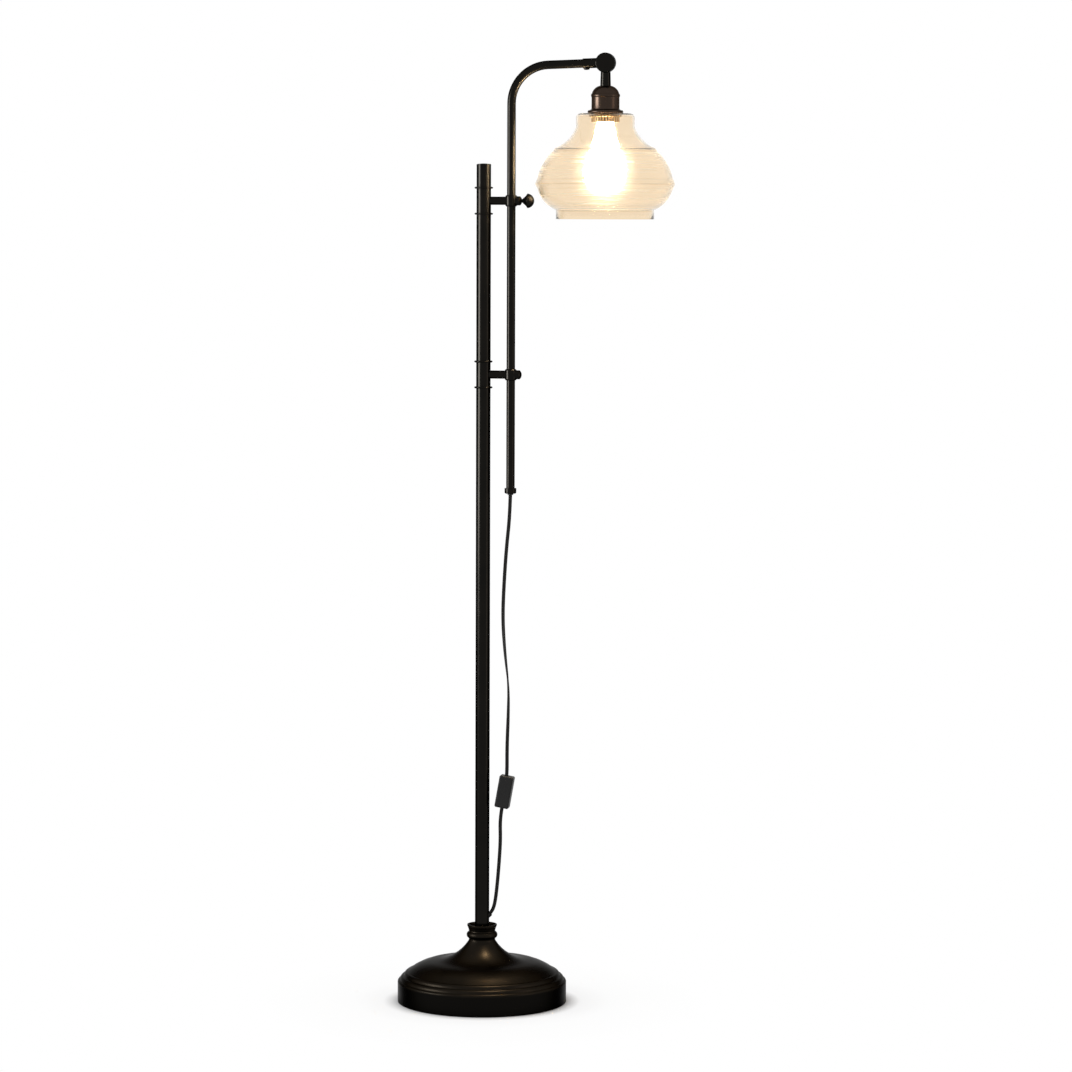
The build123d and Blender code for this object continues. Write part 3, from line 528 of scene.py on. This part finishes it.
def ridge_shade_stops():
    """Ramp from the mouth of the glass up to its top: peach, darker along each line of painted shade."""
    stops = [(0.0, GLASS_PEACH_GLOW)]
    for depth, half, strength in reversed(RIDGE_SHADE_LINES):
        line = [clear + (dark - clear) * strength for clear, dark in zip(GLASS_PEACH_GLOW, GLASS_LINE)]
        for edge, colour in ((half, GLASS_PEACH_GLOW), (0, line), (-half, GLASS_PEACH_GLOW)):
            stops.append(((SHADE_H - depth - edge) / SHADE_H, colour))
    return stops


def ripple_stops():
    """Ramp of roughness from the mouth of the glass up to its top."""
    return [((SHADE_H - depth) / SHADE_H, grey(rough)) for depth, rough in reversed(RIPPLES)]


def shade_finish():
    """Clear moulded glass with a peach tone that is partly painted warm light from the bulb, darker lines
    painted as shade along its ridges, and fine moulding waves.
    """
    finish = Finish("shade_glass", transmission=1.0, ior=1.16, coat=0.14, coat_roughness=0.03)
    share = (finish.along("Z") - low("glass_shade").z * MM) / (SHADE_H * MM)
    flat = finish.add("ShaderNodeVectorMath", {"operation": "MULTIPLY"}, {0: finish.place(), 1: WAVE_RATE})
    waves = finish.noise(1.0, detail=3.0, place=flat)
    cast = finish.ramp(ridge_shade_stops(), share)
    finish.set(
        base_color=finish.mixed(waves * WAVE_TINT, cast, GLASS_LINE),
        roughness=finish.ramp(ripple_stops(), share) + waves.sway(WAVE_ROUGHNESS),
        normal=finish.bumped(waves, WAVE_DEPTH, WAVE_BUMP),
    )
    return finish.material


def bulb_finish():
    """Clear bulb glass filled by the filament's light."""
    finish = Finish("bulb_clear", base_color=BULB_TINT, transmission=1.0, ior=1.45, roughness=0.05)
    haze = finish.noise(40.0)
    finish.set(emission_color=finish.mixed(haze, *BULB_TONES), emission=14.0)
    return finish.material


def filament_finish():
    """Hot wire."""
    finish = Finish("filament_wire", base_color=FILAMENT_WIRE, roughness=0.5)
    heat = finish.noise(300.0)
    finish.set(emission_color=finish.mixed(heat, *FILAMENT_TONES), emission=30.0)
    return finish.material


def brass_finish():
    """Drawn socket brass, a little tarnished."""
    finish = Finish("socket_brass", metallic=1.0)
    tarnish = finish.noise(70.0, detail=5.0)
    grain = finish.noise(1200.0)
    finish.set(
        base_color=finish.mixed(tarnish, *BRASS_TONES),
        roughness=0.24 + tarnish * 0.2,
        normal=finish.bumped(grain, 0.01, 0.4),
    )
    return finish.material


def steel_finish():
    """Plain zinc-plated steel."""
    finish = Finish("plain_steel", metallic=1.0)
    plate = finish.noise(120.0, detail=5.0)
    finish.set(
        base_color=finish.mixed(plate, *STEEL_TONES),
        roughness=0.28 + plate * 0.18,
        normal=finish.bumped(plate, 0.02, 0.3),
    )
    return finish.material


def cast_finish():
    """Grey cast iron with a sandy skin."""
    finish = Finish("cast_weight", metallic=0.6)
    sand = finish.noise(500.0, detail=6.0, roughness=0.65)
    finish.set(
        base_color=finish.mixed(sand, *IRON_TONES),
        roughness=0.55 + sand * 0.25,
        normal=finish.bumped(sand, 0.3, 0.7),
    )
    return finish.material


def felt_finish():
    """Dark felt."""
    finish = Finish("pad_felt", sheen=0.4, sheen_roughness=0.6)
    fibres = finish.noise(1400.0, detail=5.0, roughness=0.7)
    finish.set(
        base_color=finish.mixed(fibres, *FELT_TONES),
        roughness=0.85 + fibres * 0.1,
        normal=finish.bumped(fibres, 0.4, 0.8),
    )
    return finish.material


# The finish of each material slot, and three that some pieces take instead
FINISHES = {
    "bronze_metal": bronze_finish("oil_rubbed_bronze", POLE_TONES, edge=0.16),
    "cast_weight": cast_finish(),
    "pad_felt": felt_finish(),
    "plain_steel": steel_finish(),
    "black_plastic": plastic_finish(),
    "cord_jacket": cord_finish(),
    "socket_brass": brass_finish(),
    "shade_glass": shade_finish(),
    "bulb_clear": bulb_finish(),
    "filament_wire": filament_finish(),
}
BASE_FINISH = bronze_finish("base_bronze", BASE_TONES, satin=0.34, shade_fade=RIM_SHADE_FADE)
# Painted light: the husk takes a lighter, warmer copy of the bronze for the bulb's glow on it.
HUSK_GLOW_FINISH = bronze_finish("husk_bronze_painted_glow", HUSK_GLOW_TONES, satin=0.26)
RING_FINISH = ring_finish()


# Modelling by hand


def walked(start, *steps):
    """Points of an outline. A step is a corner (x, y), or (x, y, bow) for an arc that bulges left."""
    line = [Vector(start)]
    for step in steps:
        end = Vector(step[:2])
        if len(step) == 3:
            line += arc(line[-1], end, step[2])
        else:
            line.append(end)
    return line


def arc(start, end, bow):
    """Points after start on the round stretch to end."""
    half = (end - start).length / 2
    side = 1 if bow > 0 else -1
    radius = (half**2 + bow**2) / (2 * abs(bow))
    left = Vector((start.y - end.y, end.x - start.x)).normalized()
    centre = (start + end) / 2 - left * (radius - abs(bow)) * side
    sweep = 2 * asin(min(1.0, half / radius))
    count = max(3, round(sweep / ARC_STEP))
    spoke = start - centre
    turns = [-side * sweep * step / count for step in range(1, count + 1)]
    return [centre + Matrix.Rotation(turn, 2) @ spoke for turn in turns]


def alone(piece):
    """Selects one piece and nothing else."""
    bpy.ops.object.select_all(action="DESELECT")
    piece.select_set(True)
    bpy.context.view_layer.objects.active = piece


def drawn(name, line):
    """A new piece in edit mode: a chain of edges through points given in millimetres."""
    bpy.ops.object.select_all(action="DESELECT")
    bpy.ops.mesh.primitive_plane_add(size=MM)
    piece = bpy.context.object
    piece.name = name
    bpy.ops.object.mode_set(mode="EDIT")
    bpy.ops.mesh.merge(type="CENTER")
    bpy.ops.transform.translate(value=line[0] * MM)
    for here, after in zip(line, line[1:]):
        bpy.ops.mesh.extrude_region_move(TRANSFORM_OT_translate={"value": (after - here) * MM})
    bpy.ops.mesh.select_all(action="SELECT")
    return piece


def turned(name, *steps, turns=TURNS):
    """A piece turned about Z from an outline of radii and heights."""
    piece = drawn(name, [Vector((point.x, 0, point.y)) for point in walked(*steps)])
    bpy.ops.mesh.spin(steps=turns, angle=tau, center=(0, 0, 0), axis=(0, 0, 1))
    bpy.ops.mesh.select_all(action="SELECT")
    bpy.ops.mesh.remove_doubles(threshold=MERGE * MM)
    bpy.ops.mesh.normals_make_consistent(inside=False)
    bpy.ops.object.mode_set(mode="OBJECT")
    return piece


def picked(piece, test):
    """Edit mode, with the vertices selected whose place in millimetres passes a test."""
    alone(piece)
    bpy.ops.object.mode_set(mode="EDIT")
    bpy.ops.mesh.select_mode(type="VERT")
    bpy.ops.mesh.select_all(action="DESELECT")
    bpy.ops.object.mode_set(mode="OBJECT")
    for vertex in piece.data.vertices:
        vertex.select = test(vertex.co / MM)
    bpy.ops.object.mode_set(mode="EDIT")


def worked(piece, kind, **settings):
    """Adds a modifier, sets it and applies it."""
    alone(piece)
    bpy.ops.object.modifier_add(type=kind)
    modifier = piece.modifiers[-1]
    for name, value in settings.items():
        setattr(modifier, name, value)
    bpy.ops.object.modifier_apply(modifier=modifier.name)
    return piece


def walled(piece, wall):
    """Gives an open skin a wall on its inner side."""
    return worked(piece, "SOLIDIFY", thickness=wall * MM, offset=-1.0, use_even_offset=True)


def eased(piece, ease, segments=2):
    """Rounds the sharp edges and smooths the rest."""
    edges = {"limit_method": "ANGLE", "angle_limit": SMOOTH_ANGLE}
    return smooth(worked(piece, "BEVEL", width=ease * MM, segments=segments, **edges))


def smooth(piece):
    alone(piece)
    bpy.ops.object.shade_smooth_by_angle(angle=SMOOTH_ANGLE)
    return piece


def placed(piece, at, turn=(0, 0, 0)):
    """Turns a piece by degrees about X, Y and Z and moves it, in its mesh."""
    piece.location = Vector(at) * MM
    piece.rotation_euler = [radians(angle) for angle in turn]
    alone(piece)
    bpy.ops.object.transform_apply(location=True, rotation=True, scale=True)
    return piece


def dressed(piece, body, slot, node, finish=None):
    """Puts a finished piece on its body, in its finish, in place of a CAD node."""
    piece.data.materials.clear()
    piece.data.materials.append(finish or FINISHES[slot])
    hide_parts(node)
    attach(piece, body)


# Camera


def make_camera():
    aside = (IMAGE_PX / 2 - POLE_PX) / FOCAL_PX * CAMERA_DISTANCE
    right = Vector((cos(CAMERA_AZIMUTH), sin(CAMERA_AZIMUTH), 0))
    ahead = Vector((-sin(CAMERA_AZIMUTH), cos(CAMERA_AZIMUTH), 0))
    camera = bpy.data.objects.new("camera", bpy.data.cameras.new("camera"))
    bpy.context.scene.collection.objects.link(camera)
    camera.data.sensor_width = SENSOR_WIDTH
    camera.data.lens = FOCAL_PX / IMAGE_PX * SENSOR_WIDTH
    camera.location = (right * aside - ahead * CAMERA_DISTANCE + Vector((0, 0, CAMERA_HEIGHT))) * MM
    aim = Matrix.Rotation(CAMERA_AZIMUTH, 3, "Z") @ Matrix.Rotation(pi / 2 - CAMERA_PITCH, 3, "X")
    camera.rotation_euler = (aim @ Matrix.Rotation(CAMERA_ROLL, 3, "Z")).to_euler()
    bpy.context.scene.camera = camera


# Cord


def cord_path():
    """Points along the smooth line that the route's points steer, in metres."""
    curve = bpy.data.curves.new("cord_route", "CURVE")
    curve.dimensions = "3D"
    spline = curve.splines.new("NURBS")
    spline.points.add(len(CORD_ROUTE) - 1)
    for point, place in zip(spline.points, CORD_ROUTE):
        point.co = (*(Vector(place) * MM), 1)
    spline.order_u = 3
    spline.use_endpoint_u = True
    spline.resolution_u = CORD_CUTS
    line = bpy.data.objects.new("cord_route", curve)
    bpy.context.scene.collection.objects.link(line)
    mesh = bpy.data.meshes.new_from_object(line)
    path = [vertex.co.copy() for vertex in mesh.vertices]
    bpy.data.objects.remove(line)
    bpy.data.meshes.remove(mesh)
    return path


def cord_section():
    """Outline of the twin lead: two round cores side by side with a valley between them."""
    core = CORD_T / 2
    reach = CORD_W / 2 - core
    angles = [step * CORE_STEP for step in range(-CORE_STEPS, CORE_STEPS + 1)]
    side = [(reach + core * cos(angle), core * sin(angle)) for angle in angles]
    return side + [(-x, -y) for x, y in side]


def cord_twist(height):
    """Turn of the flat lead at a height: face on, edge on half way down, face on again."""
    share = min(1.0, max(0.0, (TWIST_TOP - height) / (TWIST_TOP - TWIST_FOOT)))
    return pi * share * share * (3 - 2 * share)


def cord_mesh(path, section):
    """A closed tube: the section carried along the path, twisted by height."""
    across = Vector((cos(CAMERA_AZIMUTH), sin(CAMERA_AZIMUTH), 0))
    points = []
    for number, here in enumerate(path):
        ahead = path[min(number + 1, len(path) - 1)] - path[max(number - 1, 0)]
        ahead.normalize()
        wide = (across - ahead * across.dot(ahead)).normalized()
        wide.rotate(Matrix.Rotation(cord_twist(here.z / MM), 3, ahead))
        thick = ahead.cross(wide)
        points += [here + (wide * x + thick * y) * MM for x, y in section]
    count = len(section)
    faces = [tuple(range(count)), tuple(range(len(points) - count, len(points)))[::-1]]
    for ring in range(len(path) - 1):
        for corner in range(count):
            near = ring * count + corner
            side = ring * count + (corner + 1) % count
            faces.append((near, near + count, side + count, side))
    mesh = bpy.data.meshes.new("twin_cord")
    mesh.from_pydata(points, [], faces)
    return mesh


def make_cord():
    path = cord_path()
    cord = bpy.data.objects.new("twin_cord", cord_mesh(path, cord_section()))
    bpy.context.scene.collection.objects.link(cord)
    alone(cord)
    bpy.ops.object.mode_set(mode="EDIT")
    bpy.ops.mesh.select_all(action="SELECT")
    bpy.ops.mesh.normals_make_consistent(inside=False)
    bpy.ops.object.mode_set(mode="OBJECT")
    smooth(cord)
    cord.data.materials.append(FINISHES["cord_jacket"])
    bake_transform(cord)
    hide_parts("cord_upper", "cord_lower")
    exit_point = Vector(CORD_ROUTE[0]) * MM
    exit_point.z = low("cord_bushing").z * MM


# Base


def make_base_dome():
    """Spun shell: upright rim, two rounded steps, and a dome that flares up to the neck."""
    rim_r = high("base_shell").x
    neck_z = high("base_shell").z
    shoulder_z = RIM_H + SHOULDER_H
    step_1_r = rim_r - SHOULDER_W - STEP_LEDGE_W
    step_2_r = step_1_r - STEP_W - STEP_LEDGE_W
    dome_r = step_2_r - STEP_W - STEP_LEDGE_W
    step_1_z = shoulder_z + STEP_LEDGE_H
    step_2_z = step_1_z + STEP_H + STEP_LEDGE_H
    dome_z = step_2_z + STEP_H + STEP_LEDGE_H
    dome = turned(
        "base_dome",
        (rim_r, RIM_LIFT),
        (rim_r, RIM_H),
        (rim_r - SHOULDER_W, shoulder_z, -SHOULDER_BOW),
        (step_1_r, step_1_z),
        (step_1_r - STEP_W, step_1_z + STEP_H, -STEP_BOW),
        (step_2_r, step_2_z),
        (step_2_r - STEP_W, step_2_z + STEP_H, -STEP_BOW),
        (dome_r, dome_z),
        (FLARE_R, dome_z + DOME_H, -DOME_BOW),
        (NECK_R, neck_z - NECK_RISE, FLARE_BOW),
        (NECK_R, neck_z),
        (NIPPLE_R, neck_z),
    )
    eased(walled(dome, SHELL_WALL), SHELL_EASE)
    dressed(dome, "stand", "bronze_metal", "base_shell", BASE_FINISH)


def make_neck_bead():
    """Turned bead between the dome and the cup."""
    foot = low("neck_bead").z
    top = high("neck_bead").z
    bead = turned(
        "neck_bead_ring",
        (NIPPLE_R, foot),
        (NECK_R, foot),
        (NECK_R, foot + BEAD_LIP),
        (NECK_R, top - BEAD_LIP, -BEAD_BULGE),
        (NECK_R, top),
        (NIPPLE_R, top),
        (NIPPLE_R, foot),
    )
    eased(bead, BEAD_EASE)
    dressed(bead, "stand", "bronze_metal", "neck_bead", BASE_FINISH)


def make_neck_cup():
    """Open cup over the bead, with a well round the pole."""
    foot = high("neck_bead").z
    top = high("pole_cup").z
    lip_r = high("pole_cup").x
    well_z = top - CUP_WELL
    cup = turned(
        "neck_cup",
        (NIPPLE_R, foot),
        (NECK_R, foot),
        (lip_r, top - CUP_LIP, CUP_BOW),
        (lip_r, top),
        (lip_r - CUP_LIP, top),
        (POLE_R + CUP_LIP, well_z, CUP_WELL_BOW),
        (POLE_R, well_z),
        (POLE_R, foot + CUP_FLOOR),
        (NIPPLE_R, foot + CUP_FLOOR),
        (NIPPLE_R, foot),
    )
    eased(cup, CUP_EASE, segments=3)
    dressed(cup, "stand", "bronze_metal", "pole_cup", BASE_FINISH)


# Head


def make_husk():
    """Socket husk: domed cap, a bead line, a straight sleeve and a rolled flange."""
    top = high("socket_husk").z
    foot = low("socket_husk").z
    flange_r = (high("socket_husk").x - low("socket_husk").x) / 2
    dome_foot = top - HUSK_DOME_H
    husk = turned(
        "lamp_husk",
        (HUSK_BORE_R, foot),
        (flange_r, foot),
        (flange_r, foot + HUSK_FLANGE_H, -HUSK_FLANGE_BOW),
        (HUSK_R, foot + HUSK_FLANGE_H + HUSK_SWEEP_H, HUSK_SWEEP_BOW),
        (HUSK_R, dome_foot - HUSK_BEAD_H),
        (HUSK_R, dome_foot, -HUSK_BEAD_BOW),
        (HUSK_R - HUSK_BEAD_STEP, dome_foot),
        (HUSK_NECK_R, top, -HUSK_DOME_BOW),
        (STEM_BORE_R, top),
        (STEM_BORE_R, top - HUSK_WALL),
        (HUSK_BORE_R, dome_foot, HUSK_DOME_BOW),
        (HUSK_BORE_R, foot),
    )
    placed(eased(husk, HUSK_EASE), on_head())
    dressed(husk, "head", "bronze_metal", "socket_husk", HUSK_GLOW_FINISH)


def make_shade_ring():
    """Ring nut that holds the glass under the husk: a knurled flange over a knurled collar."""
    top = high("shade_ring").z
    foot = low("shade_ring").z
    flange_r = (high("shade_ring").x - low("shade_ring").x) / 2
    flange_foot = top - RING_FLANGE_T
    outside = RING_COLLAR_R - RING_CHAMFER / 2
    columns = KNURLS * KNURL_COLUMNS
    ring = turned(
        "knurled_ring",
        (RING_BORE_R, foot),
        (RING_COLLAR_R - RING_CHAMFER, foot),
        (RING_COLLAR_R, foot + RING_CHAMFER),
        (RING_COLLAR_R, flange_foot - RING_GROOVE),
        (RING_COLLAR_R - RING_GROOVE, flange_foot),
        (flange_r - RING_CHAMFER, flange_foot),
        (flange_r, flange_foot + RING_CHAMFER),
        (flange_r, top - RING_CHAMFER),
        (flange_r - RING_CHAMFER, top),
        (RING_BORE_R, top),
        (RING_BORE_R, foot),
        turns=columns,
    )

    def in_a_cut(at):
        column = round(Vector((1, 0)).angle_signed(at.xy) / tau * columns)
        return at.xy.length > outside and column % KNURL_COLUMNS == 0

    picked(ring, in_a_cut)
    bpy.ops.transform.resize(value=(KNURL_CUT, KNURL_CUT, 1), center_override=(0, 0, 0))
    bpy.ops.object.mode_set(mode="OBJECT")
    placed(smooth(ring), on_head())
    dressed(ring, "head", "bronze_metal", "shade_ring", RING_FINISH)


def make_glass():
    """Moulded shade: waisted collar, ledge, wide belly with a pointed bead, and a straight mouth band."""
    top = high("glass_shade").z
    steps = [
        (FITTER_R, 0),
        (CROWN_R, 0),
        (WAIST_R, CROWN_ROUND, QUARTER_BOW * CROWN_ROUND),
        (WAIST_R, WAIST_FOOT),
        (LEDGE_R, LEDGE_Z, -WAIST_BOW),
        (SHELF_R, SHELF_Z, SHELF_BOW),
        (BELLY_R, BEAD_Z - BEAD_HALF, BELLY_BOW),
        (BELLY_R + BEAD_OUT, BEAD_Z, BEAD_BOW),
        (BELLY_R, BEAD_Z + BEAD_HALF, BEAD_BOW),
        (FOOT_R, FOOT_Z, FOOT_BOW),
        (BAND_R, BAND_Z, -BAND_BOW),
        (BAND_R, SHADE_H),
    ]
    outline = [(step[0], top - step[1], *step[2:]) for step in steps]
    glass = turned("glass_bell", *outline, turns=2 * TURNS)
    placed(eased(walled(glass, GLASS_T), GLASS_EASE), on_head())
    glass.visible_shadow = False
    dressed(glass, "head", "shade_glass", "glass_shade")
    return glass


def make_bulb():
    """Teardrop bulb, open at the neck where its brass cap holds it."""
    foot = low("bulb_glass").z
    top = high("bulb_glass").z
    bulb = turned(
        "bulb_envelope",
        (0, foot),
        (BULB_R, foot + BULB_BELLY_H, -BULB_BOW),
        (BULB_NECK_R, foot + BULB_NECK_H, BULB_NECK_BOW),
        (BULB_NECK_R, top),
    )
    placed(smooth(walled(bulb, BULB_WALL)), on_head())
    bulb.visible_shadow = False
    dressed(bulb, "head", "bulb_clear", "bulb_glass")
    return bulb


# Thumb screw


def make_thumb_screw():
    """Mushroom knob on its shank, lying along X."""
    tip = low("thumb_screw")
    reach = high("thumb_screw").x - tip.x
    collar = reach - KNOB_H
    edge = collar + KNOB_CONE_H
    screw = turned(
        "thumb_knob",
        (0, 0),
        (SHANK_R - SHANK_CHAMFER, 0),
        (SHANK_R, SHANK_CHAMFER),
        (SHANK_R, collar),
        (KNOB_NECK_R, collar),
        (KNOB_R, edge, KNOB_CONE_BOW),
        (KNOB_R, edge + KNOB_EDGE_H, -KNOB_EDGE_BOW),
        (0, reach, -KNOB_DOME_BOW),
    )
    placed(eased(screw, KNOB_EASE), (tip.x, 0, middle("thumb_screw").z), (0, 90, 0))
    dressed(screw, "thumb_screw", "bronze_metal", "thumb_screw")


# Stage and light


def make_floor():
    """Pale floor that fades into a white surround, with the lamp's soft shadow kept on it."""
    bpy.ops.object.select_all(action="DESELECT")
    bpy.ops.mesh.primitive_circle_add(vertices=FLOOR_CORNERS, radius=FLOOR_R * MM, fill_type="NGON")
    floor = bpy.context.object
    floor.name = "floor"
    finish = Finish("pale_floor", base_color=grey(FLOOR_GREY), roughness=0.9, specular=0.1)
    white = finish.add("ShaderNodeEmission", None, {"Color": grey(1.0), "Strength": 1.0})
    away = finish.add("ShaderNodeVectorMath", {"operation": "LENGTH"}, {0: finish.place()}, output="Value")
    fade = finish.ramp([(distance * MM, grey(faded)) for distance, faded in FLOOR_FADE], away)
    surface = Wire(finish, finish.surface.outputs[0])
    mix = finish.add("ShaderNodeMixShader", None, {0: finish.seen() * fade, 1: surface, 2: white})
    finish.feed(finish.tree.nodes["Material Output"].inputs["Surface"], mix)
    floor.data.materials.append(finish.material)
    return floor


def make_surround():
    """White to look at, and a plain soft light on the lamp."""
    world = bpy.data.worlds.new("surround")
    bpy.context.scene.world = world
    world.use_nodes = True
    nodes = Nodes(world.node_tree)
    seen = nodes.math("MINIMUM", nodes.seen(), 1.0)
    background = world.node_tree.nodes["Background"]
    nodes.feed(background.inputs["Color"], grey(1.0))
    nodes.feed(background.inputs["Strength"], SKY_LIGHT + seen * (1 - SKY_LIGHT))


def lit(light, place):
    """Puts a light at a place in metres."""
    lamp = bpy.data.objects.new(light.name, light)
    bpy.context.scene.collection.objects.link(lamp)
    lamp.location = place
    return lamp


def keep_off(lamps, pieces):
    """Keeps lights off some pieces."""
    shaded = bpy.data.collections.new("shaded")
    for piece in pieces:
        shaded.objects.link(piece)
    for entry in shaded.collection_objects:
        entry.light_linking.link_state = "EXCLUDE"
    for lamp in lamps:
        lamp.light_linking.receiver_collection = shaded


def soft_box(name, azimuth, height, aim, size, power, colour, spread):
    """An area light aimed at a height on the pole, at an azimuth counted from the camera's side."""
    turn = radians(azimuth) + CAMERA_AZIMUTH
    place = Vector((sin(turn) * SOFT_BOX_DISTANCE, -cos(turn) * SOFT_BOX_DISTANCE, height)) * MM
    light = bpy.data.lights.new(name, "AREA")
    light.shape = "RECTANGLE"
    light.size = size[0] * MM
    light.size_y = size[1] * MM
    light.energy = power
    light.color = colour
    light.spread = radians(spread)
    lamp = lit(light, place)
    lamp.rotation_euler = (Vector((0, 0, aim * MM)) - place).to_track_quat("-Z", "Y").to_euler()
    return lamp


def bulb_light():
    """The light that the bulb gives, at the middle of its belly. It goes where the head goes."""
    light = bpy.data.lights.new("bulb_light", "POINT")
    light.energy = BULB_POWER
    light.color = BULB_LIGHT
    light.shadow_soft_size = BULB_LIGHT_R * MM
    belly = Vector((0, 0, low("bulb_glass").z + BULB_BELLY_H))
    glow = lit(light, (Vector(on_head()) + belly) * MM)
    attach(glow, "head")
    return glow


def make_lights(glasses, floor):
    window = soft_box(
        "window_left",
        azimuth=-74,
        height=1110,
        aim=1110,
        size=(1200, 1280),
        power=20,
        colour=(1.0, 1.0, 1.0),
        spread=70,
    )
    strip = soft_box(
        "strip_right",
        azimuth=68,
        height=1000,
        aim=900,
        size=(500, 2000),
        power=9,
        colour=(1.0, 0.80, 0.66),
        spread=180,
    )
    keep_off([window, strip], glasses)
    keep_off([bulb_light()], glasses + [floor])


make_camera()
make_cord()
make_base_dome()
make_neck_bead()
make_neck_cup()
make_husk()
make_shade_ring()
glasses = [make_glass(), make_bulb()]
make_thumb_screw()

# Every CAD node takes the finish of its slot, and those that show keep their shapes.
slot_of = {part["node"]: part["material_slot"] for part in frame["record"]["subparts"]}
for name, node in frame["nodes"].items():
    node.data.materials.clear()
    node.data.materials.append(FINISHES[slot_of[name]])

floor = make_floor()
make_surround()
make_lights(glasses, floor)
bpy.context.scene.view_settings.view_transform = "Standard"
